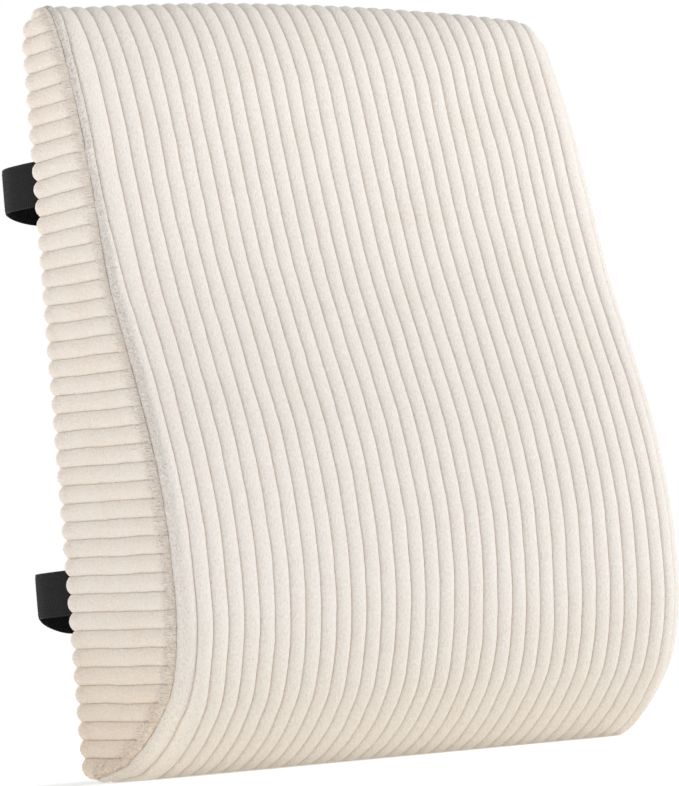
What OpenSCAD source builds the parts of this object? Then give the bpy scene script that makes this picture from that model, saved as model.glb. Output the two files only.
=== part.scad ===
// Contoured lumbar-support cushion: a foam block in a zipped corduroy cover, held to a chair
// by two elastic straps with side-release buckles.
// X runs across the width, -Y is the front that the sitter leans on, +Z is up.
// The origin is on the base, midway between the front of the curve and the back of the buckles.

/* [Cushion] */
// Width of the cushion
cushion_w = 360; // [300:5:420]
// Height of the cushion
cushion_h = 430; // [390:5:480]
// Depth from the back plane to the fullest point of the lumbar curve
cushion_d = 106; // [90:1:130]
// Thickness of the corduroy and of the back fabric
cover_t = 3; // [2.6:0.1:4]
// Thickness of the knitted sleeve around the foam
liner_t = 1; // [0.6:0.1:1.4]
// Radius of the bottom back corner
back_corner_r = 10; // [7:1:14]

/* [Zip] */
// Height of the zip's centre line above the base
zip_z = 42; // [34:1:60]
// Height of the visible part of one zip tape
tape_h = 11.6; // [8:0.1:14]
// Distance from each side of the cushion to the end of the rows of teeth
zip_margin = 15; // [12:1:40]
// Slit between the two rows of teeth, which the slider's bridge runs in
teeth_gap = 0.8; // [0.7:0.1:1]
// Length of the slider along the zip
slider_l = 11; // [9:0.5:14]
// Distance from the shut end of the teeth to the slider's middle when the zip is shut
slider_rest = 17; // [14:1:60]
// Length of the pull tab
pull_l = 22; // [16:1:26]

/* [Straps] */
// Width of the elastic webbing
strap_w = 25; // [20:1:30]
// Thickness of the elastic webbing
strap_t = 1.5; // [1.2:0.1:1.6]
// Height of the upper strap behind the cushion
upper_z = 328; // [300:1:350]
// Height of the lower strap behind the cushion
lower_z = 97; // [85:1:120]
// How far the upper strap droops from its seam
upper_droop = 5; // [0:1:12]
// How far the lower strap droops from its seam
lower_droop = 9; // [0:1:12]
// Distance that the straps stand off behind the back
strap_out = 48; // [40:1:60]

/* [Buckles] */
// Place of the buckle's mouth across the width
buckle_x = -24; // [-40:1:0]
// Thickness of the buckle
buckle_t = 9; // [8.6:0.1:11]
// Wall at each side of the webbing
rail_w = 3.5; // [3:0.1:5]
// Length of the socket's housing
socket_l = 31.5; // [29:0.5:36]
// Clearance between the plug and the socket
plug_gap = 0.3; // [0.2:0.05:0.4]
// Place of the keeper along the strap, from the buckle's mouth
keeper_x = 45; // [40:1:70]
// Length of the strap's free end past the plug
tail_l = 104; // [90:1:130]

/* [Hidden] */

$fn = 48;
CORDUROY = [0.93, 0.90, 0.85];
BLACK_CLOTH = [0.05, 0.05, 0.055];
BLACK_PLASTIC = [0.08, 0.08, 0.085];

// Small helper sizes
over = 1;               // how far a cut runs past the face that it opens
wrap_gap = 0.15;        // play between the webbing and a bar that it turns round
layer_gap = 0.2;        // play between two layers of webbing
layer_step = strap_t + layer_gap;
spline_steps = 6;

// The back plane, placed so that the origin is midway in depth
bar_r = 1.6;                                  // bars of the plug's ladder
socket_bar_r = 1.8;                           // bar that the short strap is sewn round
strap_below = 2 * layer_step;                 // from the buckle's middle to the strap's main run
back_y = (cushion_d - strap_out - strap_below - buckle_t / 2) / 2;
strap_y = back_y + strap_out;
buckle_y = strap_y + strap_below;

// ---------------------------------------------------------------- side profile

// Side profile from the top back corner over the front to the base, as [depth, height] shares
PROFILE = [
    [0, 0.93], [0, 0.958], [0.03, 0.984], [0.115, 1], [0.21, 0.99], [0.29, 0.956],
    [0.365, 0.902], [0.43, 0.833], [0.505, 0.74], [0.61, 0.633], [0.76, 0.523],
    [0.91, 0.407], [0.99, 0.291], [0.99, 0.181], [0.9, 0.1], [0.745, 0.05],
    [0.585, 0.0195], [0.45, 0.004], [0.36, 0], [0.25, 0]
];
top_seam_z = PROFILE[1][1] * cushion_h;

// Point at t on the Catmull-Rom curve from b to c
function curve_point(a, b, c, d, t) =
    0.5 * (2 * b + (c - a) * t + (2 * a - 5 * b + 4 * c - d) * t * t
        + (3 * b - a - 3 * c + d) * t * t * t);

// Curve through all points but the first and the last, which only set its end directions
function curve(p, steps = spline_steps) = concat(
    [for (i = [1 : len(p) - 3]) for (k = [0 : steps - 1])
        curve_point(p[i - 1], p[i], p[i + 1], p[i + 2], k / steps)],
    [p[len(p) - 2]]
);

// Points on an arc about c
function arc(c, r, a0, a1, steps) =
    [for (k = [0 : steps]) c + r * [cos(a0 + (a1 - a0) * k / steps), sin(a0 + (a1 - a0) * k / steps)]];

// Unit normal to the left of the segment that starts at point i of an open path
function left_normal(p, i) =
    let (k = max(0, min(i, len(p) - 2)), d = p[k + 1] - p[k]) [-d[1], d[0]] / norm(d);

// An open path moved sideways by d, to the left of its direction, with mitred corners
function moved_left(p, d) =
    [for (i = [0 : len(p) - 1])
        let (a = left_normal(p, i - 1), b = left_normal(p, i)) p[i] + d * (a + b) / (1 + a * b)];

// Outline of the cushion in [Y, Z]: the profile, then the bottom back corner. It starts and ends
// with a straight stretch of the back, so that an inset outline stays parallel to the back
outline = concat(
    [[back_y, top_seam_z - back_corner_r]],
    curve([for (p = PROFILE) [back_y - p[0] * cushion_d, p[1] * cushion_h]]),
    arc([back_y - back_corner_r, back_corner_r], back_corner_r, -90, 0, 6),
    [[back_y, 2 * back_corner_r]]
);

// Slab with the outline inset by d, from x = -w / 2 to w / 2
module profile_slab(d, w)
    translate([-w / 2, 0, 0]) rotate([90, 0, 90]) linear_extrude(w) polygon(moved_left(outline, d));

// Box behind the back plane's first cover_t, between two heights and two places across
module back_strip(x0, x1, z0, z1)
    translate([x0, back_y - cover_t, z0]) cube([x1 - x0, cover_t, z1 - z0]);

inner_w = cushion_w - 2 * cover_t;
core_w = inner_w - 2 * liner_t;

// ---------------------------------------------------------------- cushion

module foam_core() color([0.96, 0.93, 0.78]) profile_slab(cover_t + liner_t, core_w);

module foam_liner() color([0.95, 0.95, 0.94]) difference() {
    profile_slab(cover_t, inner_w);
    profile_slab(cover_t + liner_t, core_w);
}

// One length of corduroy that wraps over the top, down the front and under the base
module front_panel() color(CORDUROY) difference() {
    profile_slab(0, cushion_w);
    profile_slab(cover_t, cushion_w + 2 * over);
    translate([-cushion_w / 2 - over, back_y - cover_t, back_corner_r])
        cube([cushion_w + 2 * over, cover_t + over, top_seam_z - back_corner_r]);
}

// Gusset at one side, side = -1 for the left and 1 for the right
module side_panel(side) color(CORDUROY)
    translate([side * (inner_w + cover_t) / 2, 0, 0]) {
        profile_slab(cover_t, cover_t);
        back_strip(-cover_t / 2, cover_t / 2, back_corner_r, top_seam_z);
    }

module back_panel() color(BLACK_CLOTH)
    back_strip(-inner_w / 2, inner_w / 2, zip_z + teeth_gap / 2 + tape_h, top_seam_z);

module back_lower_panel() color(BLACK_CLOTH)
    back_strip(-inner_w / 2, inner_w / 2, back_corner_r, zip_z - teeth_gap / 2 - tape_h);

// ---------------------------------------------------------------- zip

tape_t = 1;                      // thickness of a tape
tape_y = back_y - 1.2;           // the tapes' inner face
teeth_h = 1.8;                   // height of one row of teeth
teeth_t = 1.8;                   // how far the teeth stand out from the tape
stop_l = 3;                      // length of an end stop
slider_h = 8;                    // height of the slider across the teeth
slider_wall = 1.1;               // thickness of the slider's plates
slider_play = 0.35;              // play between the slider and the tapes or teeth
bridge_t = 0.5;                  // thickness of the bridge between the slider's plates
eye_r = 1;                       // inner radius of the slider's eye
eye_wall = 0.9;                  // wall of the eye
eye_w = 1.6;                     // width of the eye
pull_w = 5;                      // width of the pull tab
pull_t = 1.2;                    // thickness of the pull tab
pull_pin_r = 0.75;               // radius of the tab's cross-bar
teeth_l = cushion_w - 2 * zip_margin;
slider_x = teeth_l / 2 - slider_rest;
tape_face_y = tape_y + tape_t;
slider_face_y = tape_face_y + teeth_t + slider_play + slider_wall;
eye_y = slider_face_y + eye_r + 0.2;

// One tape, side = 1 above the slit and -1 below it
module zip_tape(side) color(BLACK_CLOTH)
    translate([-inner_w / 2, tape_y, zip_z + side * (teeth_gap + tape_h) / 2 - tape_h / 2])
        cube([inner_w, tape_t, tape_h]);

module zip_teeth(side) color(BLACK_PLASTIC)
    translate([-teeth_l / 2, tape_face_y, zip_z + side * (teeth_gap + teeth_h) / 2 - teeth_h / 2])
        cube([teeth_l, teeth_t, teeth_h]);

module zip_end_stops() color("silver")
    for (x = [-teeth_l / 2 - stop_l, teeth_l / 2])
        translate([x, tape_face_y, zip_z - teeth_h - teeth_gap / 2])
            cube([stop_l, teeth_t, 2 * teeth_h + teeth_gap]);

module zip_slider() color("silver") translate([slider_x, 0, zip_z]) {
    // plate over the teeth, and plate under the tapes
    translate([-slider_l / 2, slider_face_y - slider_wall, -slider_h / 2])
        cube([slider_l, slider_wall, slider_h]);
    translate([-slider_l / 2, tape_y - slider_play - slider_wall, -slider_h / 2])
        cube([slider_l, slider_wall, slider_h]);
    // the bridge that parts the teeth
    translate([slider_l / 2 - 3, tape_y - slider_play - slider_wall / 2, -bridge_t / 2])
        cube([3, slider_face_y - tape_y + slider_play, bridge_t]);
    // lips that guide the teeth
    for (z = [-slider_h / 2, slider_h / 2 - 0.8])
        translate([-slider_l / 2, tape_face_y + slider_play, z])
            cube([slider_l, slider_face_y - tape_face_y - slider_play, 0.8]);
    // the eye that the pull tab hangs in
    difference() {
        translate([0, 0, -eye_w / 2]) linear_extrude(eye_w) union() {
            translate([0, eye_y]) circle(eye_r + eye_wall);
            translate([-eye_r - eye_wall, slider_face_y - 0.2])
                square([2 * (eye_r + eye_wall), eye_y - slider_face_y + 0.2]);
        }
        translate([0, eye_y, -eye_w]) cylinder(r = eye_r, h = 2 * eye_w);
        translate([-eye_r, slider_face_y, -eye_w]) cube([2 * eye_r, eye_y - slider_face_y, 2 * eye_w]);
    }
}

// Flat tab on a cross-bar through the slider's eye, lying towards the zip's shut end
module zip_pull_tab() color("silver") translate([slider_x, eye_y, zip_z]) {
    translate([0, 0, -pull_w / 2]) cylinder(r = pull_pin_r, h = pull_w);
    difference() {
        translate([0, -pull_t / 2, -pull_w / 2]) cube([pull_l, pull_t, pull_w]);
        translate([-over, -pull_t, -(eye_w + 0.6) / 2])
            cube([over + eye_r + eye_wall + 0.6, 2 * pull_t, eye_w + 0.6]);
        translate([pull_l - 4.5, pull_t, 0]) rotate([90, 0, 0]) cylinder(r = 1.3, h = 2 * pull_t);
    }
    translate([0, 0, -(eye_w + 0.6) / 2]) cylinder(r = pull_pin_r, h = eye_w + 0.6);
}

// ---------------------------------------------------------------- straps

// Smooth step from 0 to 1 as t goes from 0 to 1
function ease(t) = let (u = max(0, min(1, t))) u * u * (3 - 2 * u);

bow_end = 30;                    // how far in from the side the strap has straightened out
seam_x = (inner_w + cover_t) / 2;

// Way from the right seam out behind the cushion, as [X, Y], ending on the straight run
BOW = [
    [0, 0], [0, 2], [2, 14], [2.5, 28], [-2, 39.5], [-12.5, 47], [-bow_end, 48], [-2 * bow_end, 48]
];
function bow(side) = concat(
    [[side * seam_x, back_y]],
    curve([for (p = BOW) [side * (seam_x + p[0]), back_y + p[1] * strap_out / 48]])
);

// Ribbon of webbing along a path in [X, Y], standing on edge. Its middle is at height z, and
// it rises by droop towards the seam at side
module ribbon(path, z, droop, side) {
    n = len(path);
    left = moved_left(path, strap_t / 2);
    right = moved_left(path, -strap_t / 2);
    rise = [for (p = path) z + droop * ease((side * p[0] - seam_x + bow_end) / bow_end)];
    points = [for (i = [0 : n - 1]) each [
        [right[i][0], right[i][1], rise[i] - strap_w / 2],
        [left[i][0], left[i][1], rise[i] - strap_w / 2],
        [left[i][0], left[i][1], rise[i] + strap_w / 2],
        [right[i][0], right[i][1], rise[i] + strap_w / 2]
    ]];
    walls = [for (i = [0 : n - 2]) for (k = [0 : 3]) each [
        [4 * i + k, 4 * i + (k + 1) % 4, 4 * i + 4 + (k + 1) % 4],
        [4 * i + k, 4 * i + 4 + (k + 1) % 4, 4 * i + 4 + k]
    ]];
    ends = [[3, 2, 1, 0], [4 * n - 4, 4 * n - 3, 4 * n - 2, 4 * n - 1]];
    polyhedron(points, concat(ends, walls));
}

// Short strap: from the left seam to the socket's bar, round it and back onto itself
socket_bar_x = buckle_x - socket_l - 6.5;
socket_wrap_r = socket_bar_r + wrap_gap + strap_t / 2;
lap_l = 24;                      // length of the sewn lap behind the socket's bar
short_path = concat(
    bow(-1),
    curve([
        [socket_bar_x - lap_l, strap_y], [socket_bar_x - 9, strap_y],
        [socket_bar_x - 3.5, strap_y + 0.2], [socket_bar_x, buckle_y - socket_wrap_r],
        [socket_bar_x + 2, buckle_y - socket_wrap_r]
    ]),
    arc([socket_bar_x, buckle_y], socket_wrap_r, -70, 110, 12),
    curve([
        [socket_bar_x, buckle_y + socket_wrap_r], [socket_bar_x - 3.5, buckle_y + 0.8],
        [socket_bar_x - 7, strap_y + layer_step + 0.15], [socket_bar_x - 10, strap_y + layer_step],
        [socket_bar_x - lap_l, strap_y + layer_step], [socket_bar_x - 2 * lap_l, strap_y + layer_step]
    ], 3)
);

// Long strap: from the right seam to the plug's ladder, round its inner bar, under its outer
// bar, and back along itself to a folded hem
inner_bar_x = buckle_x + 13;
outer_bar_x = buckle_x + 20.5;
outer_bar_lift = 0.8;
ladder_wrap_r = bar_r + wrap_gap + strap_t / 2;
hem_l = 11;
hem_r = layer_step / 2;
tail_y = strap_y + layer_step;
long_path = concat(
    bow(1),
    curve([
        [inner_bar_x + 40, strap_y], [inner_bar_x + 8, strap_y], [inner_bar_x + 2.5, strap_y + 0.25],
        [inner_bar_x, buckle_y - ladder_wrap_r - 0.1], [inner_bar_x - 1.5, buckle_y - ladder_wrap_r]
    ]),
    arc([inner_bar_x, buckle_y], ladder_wrap_r, -115, -345, 14),
    curve([
        [inner_bar_x + 2, buckle_y + 2], [inner_bar_x + 3.3, buckle_y - 0.5],
        [inner_bar_x + 5.5, tail_y + 0.25], [inner_bar_x + 9, tail_y],
        [inner_bar_x + 16, tail_y], [inner_bar_x + 30, tail_y]
    ], 3),
    arc([buckle_x + tail_l, tail_y + hem_r], hem_r, -90, 90, 6),
    [[buckle_x + tail_l - hem_l, tail_y + 2 * hem_r]]
);

module strap_short(z, droop) color(BLACK_CLOTH) ribbon(short_path, z, droop, -1);

module strap_long(z, droop) color(BLACK_CLOTH) ribbon(long_path, z, droop, 1);

// ---------------------------------------------------------------- buckle

buckle_w = strap_w + 1 + 2 * rail_w;
cavity_w = buckle_w - 4;
cavity_t = buckle_t - 3.5;
plug_l = 6;                      // length of the plug's solid base
prong_l = 24;                    // length of the prongs inside the socket
prong_w = 3.6;                   // width of a prong's arm
window_x = [-23.5, -12];         // the thumb windows in the socket's sides

// Plate in the XZ plane with round corners, from x0 to x1, w wide and t thick
module round_plate(x0, x1, w, t, r)
    translate([0, t / 2, 0]) rotate([90, 0, 0]) linear_extrude(t) {
        translate([x0 + r, -w / 2]) square([x1 - x0 - 2 * r, w]);
        translate([x0, r - w / 2]) square([x1 - x0, w - 2 * r]);
        for (x = [x0 + r, x1 - r], z = [r - w / 2, w / 2 - r]) translate([x, z]) circle(r);
    }

// Round bar across the buckle, at x and lifted by y
module cross_bar(x, y, r)
    translate([x, y, rail_w / 2 - buckle_w / 2]) cylinder(r = r, h = buckle_w - rail_w);

// Two rails that carry the cross-bars, from x0 to x1
module rails(x0, x1, t)
    for (side = [-1, 1])
        translate([x0, -t / 2, side * (buckle_w - rail_w) / 2 - rail_w / 2]) cube([x1 - x0, t, rail_w]);

module socket(z) color(BLACK_PLASTIC) translate([buckle_x, buckle_y, z]) {
    difference() {
        round_plate(-socket_l, 0, buckle_w, buckle_t, 3);
        // the hollow that the plug slides into
        translate([3.5 - socket_l, -cavity_t / 2, -cavity_w / 2])
            cube([socket_l - 3.5 + over, cavity_t, cavity_w]);
        // thumb windows through both sides
        translate([window_x[0], -cavity_t / 2, -buckle_w])
            cube([window_x[1] - window_x[0], cavity_t, 2 * buckle_w]);
    }
    rails(-socket_l - 8.3, 1 - socket_l, 2 * socket_bar_r);
    cross_bar(socket_bar_x - buckle_x, 0, socket_bar_r);
}

// One prong, drawn for the side at +Z: an arm with a thumb pad and a tapered nose
module prong(t)
    translate([0, t / 2, 0]) rotate([90, 0, 0]) linear_extrude(t) polygon([
        [over, cavity_w / 2 - plug_gap - prong_w - 1.5], [over, cavity_w / 2 - plug_gap - 1.5],
        [-10, cavity_w / 2 - plug_gap - 1.5], [-12.5, cavity_w / 2 - plug_gap],
        [-19, cavity_w / 2 - plug_gap], [-prong_l, cavity_w / 2 - plug_gap - 4],
        [-prong_l, cavity_w / 2 - plug_gap - 6], [-19.5, cavity_w / 2 - plug_gap - prong_w - 2.4],
        [-12, cavity_w / 2 - plug_gap - prong_w - 1.5]
    ]);

module plug(z) color(BLACK_PLASTIC) translate([buckle_x, buckle_y, z]) {
    round_plate(plug_gap, plug_l + plug_gap, buckle_w, buckle_t - 0.6, 2);
    for (side = [0, 1]) mirror([0, 0, side]) prong(cavity_t - 2 * plug_gap);
    // middle guide tongue
    translate([-19, plug_gap - cavity_t / 2, -1.8]) cube([20, cavity_t - 2 * plug_gap, 3.6]);
    // the ladder that grips the long strap
    rails(plug_l, 22.6, 2 * bar_r + outer_bar_lift);
    cross_bar(inner_bar_x - buckle_x, 0, bar_r);
    cross_bar(outer_bar_x - buckle_x, outer_bar_lift, bar_r);
}

// Elastic loop round both layers of the long strap
keeper_l = 8;
keeper_wall = 1.2;
keeper_play = 0.3;
module keeper(z) color(BLACK_CLOTH)
    translate([buckle_x + keeper_x, strap_y + layer_step / 2, z]) {
        hole_t = 2 * strap_t + layer_gap + 2 * keeper_play;
        hole_w = strap_w + 2 * keeper_play;
        difference() {
            round_plate(-keeper_l / 2, keeper_l / 2, hole_w + 2 * keeper_wall,
                hole_t + 2 * keeper_wall, 0.6);
            cube([2 * keeper_l, hole_t, hole_w], center = true);
        }
    }

// ---------------------------------------------------------------- assembly

foam_core();
foam_liner();
front_panel();
side_panel(-1);  // side_panel_left
side_panel(1);  // side_panel_right
back_panel();
back_lower_panel();
zip_tape(1);  // zip_tape_upper
zip_tape(-1);  // zip_tape_lower
zip_teeth(1);  // zip_teeth_upper
zip_teeth(-1);  // zip_teeth_lower
zip_end_stops();
zip_slider();
zip_pull_tab();
strap_short(upper_z, upper_droop);  // upper_strap_short
socket(upper_z);  // upper_socket
plug(upper_z);  // upper_plug
strap_long(upper_z, upper_droop);  // upper_strap_long
keeper(upper_z);  // upper_keeper
strap_short(lower_z, lower_droop);  // lower_strap_short
socket(lower_z);  // lower_socket
plug(lower_z);  // lower_plug
strap_long(lower_z, lower_droop);  // lower_strap_long
keeper(lower_z);  // lower_keeper
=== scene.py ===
"""Lumbar-support cushion in a zipped corduroy cover, with two elastic straps and their buckles.

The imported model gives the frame. Every visible piece here is a surface worked out with numpy, or a
softened copy of a hard part, and each one rides on the body that it belongs to. Lengths are metres.
"""
from __future__ import annotations

import logging
import math
from dataclasses import dataclass, field
from enum import Enum
from typing import Sequence

import bmesh
import bpy
import numpy as np
from mathutils import Matrix, Vector


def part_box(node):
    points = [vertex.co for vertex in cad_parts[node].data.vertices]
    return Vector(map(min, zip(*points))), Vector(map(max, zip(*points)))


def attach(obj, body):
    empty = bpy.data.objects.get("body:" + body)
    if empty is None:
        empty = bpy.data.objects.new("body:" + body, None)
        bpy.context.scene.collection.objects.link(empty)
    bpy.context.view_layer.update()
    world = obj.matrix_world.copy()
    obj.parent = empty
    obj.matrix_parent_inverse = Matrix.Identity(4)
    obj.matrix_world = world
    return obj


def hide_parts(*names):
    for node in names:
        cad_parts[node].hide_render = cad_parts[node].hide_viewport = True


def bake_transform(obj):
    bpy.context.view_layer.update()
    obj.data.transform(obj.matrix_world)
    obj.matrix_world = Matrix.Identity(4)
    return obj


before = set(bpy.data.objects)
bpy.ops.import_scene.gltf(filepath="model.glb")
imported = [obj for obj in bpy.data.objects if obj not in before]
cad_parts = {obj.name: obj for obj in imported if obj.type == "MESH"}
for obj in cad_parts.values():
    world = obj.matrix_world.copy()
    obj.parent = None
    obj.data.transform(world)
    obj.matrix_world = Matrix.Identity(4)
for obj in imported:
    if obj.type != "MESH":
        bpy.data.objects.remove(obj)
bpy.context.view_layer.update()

Array = np.ndarray
log = logging.getLogger("cushion")
MM = 0.001


class Side(Enum):
    """The two sides of the cushion, with the sign of their X."""

    LEFT = -1
    RIGHT = 1

    @property
    def radius_column(self) -> int:
        """Where a row of the outline holds this side's corner radius."""
        return 2 if self is Side.LEFT else 3

    @property
    def angle_column(self) -> int:
        """Where a row of the outline holds the angle of this side's seam."""
        return self.radius_column + 2


class Strap(Enum):
    """The two straps, with the prefix of their nodes' names."""

    UPPER = "upper"
    LOWER = "lower"


# ------------------------------------------------------------------ curves and fields

def catmull_rom(points: Array, steps: int) -> Array:
    """Curve through all points but the first and the last, which only set its end directions.

    Between b and c, with a before and d after, the point at t is
    (2b + (c - a)t + (2a - 5b + 4c - d)t^2 + (3b - a - 3c + d)t^3) / 2.

    Args:
        points: the control points, one per row.
        steps: how many steps each stretch takes.

    Returns:
        The curve's points, one per row.
    """
    a, b, c, d = points[:-3, None], points[1:-2, None], points[2:-1, None], points[3:, None]
    t = (np.arange(steps) / steps)[None, :, None]
    linear = (c - a) * t
    square = (2 * a - 5 * b + 4 * c - d) * t**2
    cube = (3 * b - a - 3 * c + d) * t**3
    curve = 0.5 * (2 * b + linear + square + cube)
    return np.vstack([curve.reshape(-1, points.shape[1]), points[-2:-1]])


def arc(centre: Sequence[float], radius: float, start: float, end: float, steps: int) -> Array:
    """Points on a circle about centre, from start to end in degrees.

    Args:
        centre: the circle's middle.
        radius: its radius.
        start: the first point's angle.
        end: the last point's angle.
        steps: how many steps the arc takes.

    Returns:
        The points, one per row.
    """
    angle = np.radians(np.linspace(start, end, steps + 1))
    return np.asarray(centre) + radius * np.column_stack([np.cos(angle), np.sin(angle)])


def along(points: Array) -> Array:
    """Length along a path up to each of its points."""
    return np.concatenate([[0], np.cumsum(np.linalg.norm(np.diff(points, axis=0), axis=1))])


def resampled(path: Array, count: int, axes: int | None = None) -> Array:
    """The same path at even lengths.

    Args:
        path: its points, one per row, with any further numbers after each place.
        count: how many points are wanted.
        axes: how many of the numbers make the place, or None for all.

    Returns:
        The new rows.
    """
    length = along(path[:, :axes])
    at = np.linspace(0, length[-1], count)
    return np.column_stack([np.interp(at, length, column) for column in path.T])


def smooth(low: float, high: float, value: Array) -> Array:
    """Smooth step: 0 below low, 1 above high, 3t^2 - 2t^3 between. low may be above high."""
    t = np.clip((value - low) / (high - low), 0, 1)
    return t * t * (3 - 2 * t)


def noise(points: Array, scale: float, seed: int) -> Array:
    """Value noise from -1 to 1: random numbers on a lattice, smoothly blended inside each cell.

    Args:
        points: places, with 1 to 3 numbers in the last axis.
        scale: size of a cell.
        seed: which set of random numbers.

    Returns:
        One number for each point.
    """
    side = 32
    table = np.random.default_rng(seed).uniform(-1, 1, (side, side, side))
    full = np.zeros(points.shape[:-1] + (3,))
    full[..., : points.shape[-1]] = points / scale
    cell = np.floor(full).astype(int)
    t = full - cell
    t = t * t * (3 - 2 * t)
    total = np.zeros(points.shape[:-1])
    for corner in np.ndindex(2, 2, 2):
        weight = np.prod(np.where(np.array(corner) == 1, t, 1 - t), axis=-1)
        i, j, k = np.moveaxis((cell + corner) % side, -1, 0)
        total += weight * table[i, j, k]
    return total


def paired(first: Array, second: Array) -> Array:
    """Two arrays, stretched to one shape and set side by side in a new last axis."""
    return np.stack(np.broadcast_arrays(first, second), axis=-1)


@dataclass(frozen=True)
class Waver:
    """Hand-made unevenness: noise with its own size.

    Attributes:
        height: the furthest that it reaches.
        cell: length over which it changes.
        seed: which set of random numbers.
    """

    height: float
    cell: float
    seed: int

    def at(self, points: Array) -> Array:
        """The unevenness at each point."""
        return self.height * noise(points, self.cell, self.seed)


def crowded(count: int) -> Array:
    """Shares from 0 to 1 that crowd towards both ends, as (1 - cos) / 2 does."""
    return (1 - np.cos(np.pi * np.linspace(0, 1, count))) / 2


def cosine_steps(bounds: Array, steps: int) -> Array:
    """Places between neighbouring bounds, crowded towards each bound as (1 - cos) / 2 does.

    Args:
        bounds: the bounds in order; any leading axes are kept.
        steps: how many steps each interval takes.

    Returns:
        The places, with the last bound at the end.
    """
    t = (1 - np.cos(np.pi * np.arange(steps) / steps)) / 2
    low, high = bounds[..., :-1, None], bounds[..., 1:, None]
    inside = (low + (high - low) * t).reshape(bounds.shape[:-1] + (-1,))
    return np.concatenate([inside, bounds[..., -1:]], axis=-1)


def rib_profile(steps: int, count: int) -> Array:
    """Height of count ribs side by side at cosine_steps: (1 - |u|^2.1)^0.68, with u from -1 to 1."""
    u = np.tile(-np.cos(np.pi * np.arange(steps) / steps), count)
    return np.append((1 - np.abs(u) ** 2.1) ** 0.68, 0.0)


# ------------------------------------------------------------------ meshes

def add_mesh(name: str, points: Array, faces: Array | list, uv: Array | None = None,
             values: dict[str, Array] | None = None) -> bpy.types.Object:
    """Makes a smooth-shaded mesh object at the origin.

    Args:
        name: the piece's name.
        points: its vertices.
        faces: its faces, as vertex numbers.
        uv: one UV place for each vertex, or None.
        values: named numbers for each vertex, kept as attributes.

    Returns:
        The new object.
    """
    mesh = bpy.data.meshes.new(name)
    corner_lists = faces if isinstance(faces, list) else faces.tolist()
    mesh.from_pydata(points.reshape(-1, 3).tolist(), [], corner_lists)
    corners = np.empty(len(mesh.loops), np.int32)
    mesh.loops.foreach_get("vertex_index", corners)
    if uv is not None:
        layer = mesh.uv_layers.new(name="cloth")
        layer.data.foreach_set("uv", uv.reshape(-1, 2)[corners].astype(np.float32).ravel())
    for key, value in (values or {}).items():
        attribute = mesh.attributes.new(key, "FLOAT", "POINT")
        attribute.data.foreach_set("value", value.astype(np.float32).ravel())
    mesh.polygons.foreach_set("use_smooth", np.ones(len(mesh.polygons), bool))
    mesh.update()
    piece = bpy.data.objects.new(name, mesh)
    bpy.context.scene.collection.objects.link(piece)
    return piece


def quads(rows: int, columns: int, wrap_rows: bool = False, wrap_columns: bool = False,
          turn: bool = False) -> Array:
    """Faces of a grid of rows x columns vertices.

    Args:
        rows: how many rows.
        columns: how many columns.
        wrap_rows: whether the last row joins the first.
        wrap_columns: whether the last column joins the first.
        turn: whether the faces look the other way.

    Returns:
        The faces, four vertex numbers a row.
    """
    number = np.arange(rows * columns).reshape(rows, columns)
    if wrap_rows:
        number = np.vstack([number, number[:1]])
    if wrap_columns:
        number = np.hstack([number, number[:, :1]])
    a, b, c, d = number[:-1, :-1], number[:-1, 1:], number[1:, 1:], number[1:, :-1]
    order = (a, d, c, b) if turn else (a, b, c, d)
    return np.stack(order, axis=-1).reshape(-1, 4)


def capped(rings: Array, turn: bool = False) -> tuple[Array, list]:
    """A closed surface from rings: neighbours are joined, and each end ring is fanned to its middle.

    Args:
        rings: points as ring x place on the ring x 3.
        turn: whether the faces look the other way.

    Returns:
        The vertices and the faces.
    """
    count, size = rings.shape[:2]
    points = np.vstack([rings.reshape(-1, 3), rings[0].mean(axis=0), rings[-1].mean(axis=0)])
    faces = quads(count, size, wrap_columns=True, turn=turn).tolist()
    here = np.arange(size)
    after = np.roll(here, -1)
    first = np.column_stack([np.full(size, count * size), after, here])
    last_ring = (count - 1) * size
    last = np.column_stack([last_ring + here, last_ring + after, np.full(size, count * size + 1)])
    for fan in (first, last):
        faces += (fan[:, ::-1] if turn else fan).tolist()
    return points, faces


def superellipse(half_a: float, half_b: float, power: float, count: int) -> Array:
    """Closed outline |a / half_a|^power + |b / half_b|^power = 1.

    Args:
        half_a: half its size along the first axis.
        half_b: half its size along the second axis.
        power: how square it is; 2 gives an ellipse.
        count: how many points.

    Returns:
        The points, one per row.
    """
    t = np.arange(count) * 2 * np.pi / count
    c, s = np.cos(t), np.sin(t)
    a = half_a * np.sign(c) * np.abs(c) ** (2 / power)
    b = half_b * np.sign(s) * np.abs(s) ** (2 / power)
    return np.column_stack([a, b])


def rounded_block(low: Sequence[float], high: Sequence[float], power: float = 6.0,
                  across: int = 20, up: int = 10) -> tuple[Array, list]:
    """A block with soft edges: a superellipse section whose size follows a superellipse along Z.

    Args:
        low: its lowest corner.
        high: its highest corner.
        power: how square it is.
        across: points round the section.
        up: how many rings.

    Returns:
        The vertices and the faces.
    """
    low, high = np.asarray(low, float), np.asarray(high, float)
    half, middle = (high - low) / 2, (high + low) / 2
    t = np.linspace(-np.pi / 2, np.pi / 2, up + 2)[1:-1]
    size, height = np.cos(t) ** (2 / power), np.sign(t) * np.abs(np.sin(t)) ** (2 / power)
    section = superellipse(half[0], half[1], power, across)
    rings = np.empty((up, across, 3))
    rings[..., :2] = section[None] * size[:, None, None]
    rings[..., 2] = (height * half[2])[:, None]
    return capped(rings + middle)


def joined(parts: Sequence[tuple[Array, list]]) -> tuple[Array, list]:
    """Several closed shells as one.

    Args:
        parts: the vertices and the faces of each.

    Returns:
        The vertices and the faces of all.
    """
    points, faces, base = [], [], 0
    for own_points, own_faces in parts:
        points.append(own_points)
        faces += [[base + number for number in face] for face in own_faces]
        base += len(own_points)
    return np.vstack(points), faces


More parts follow.
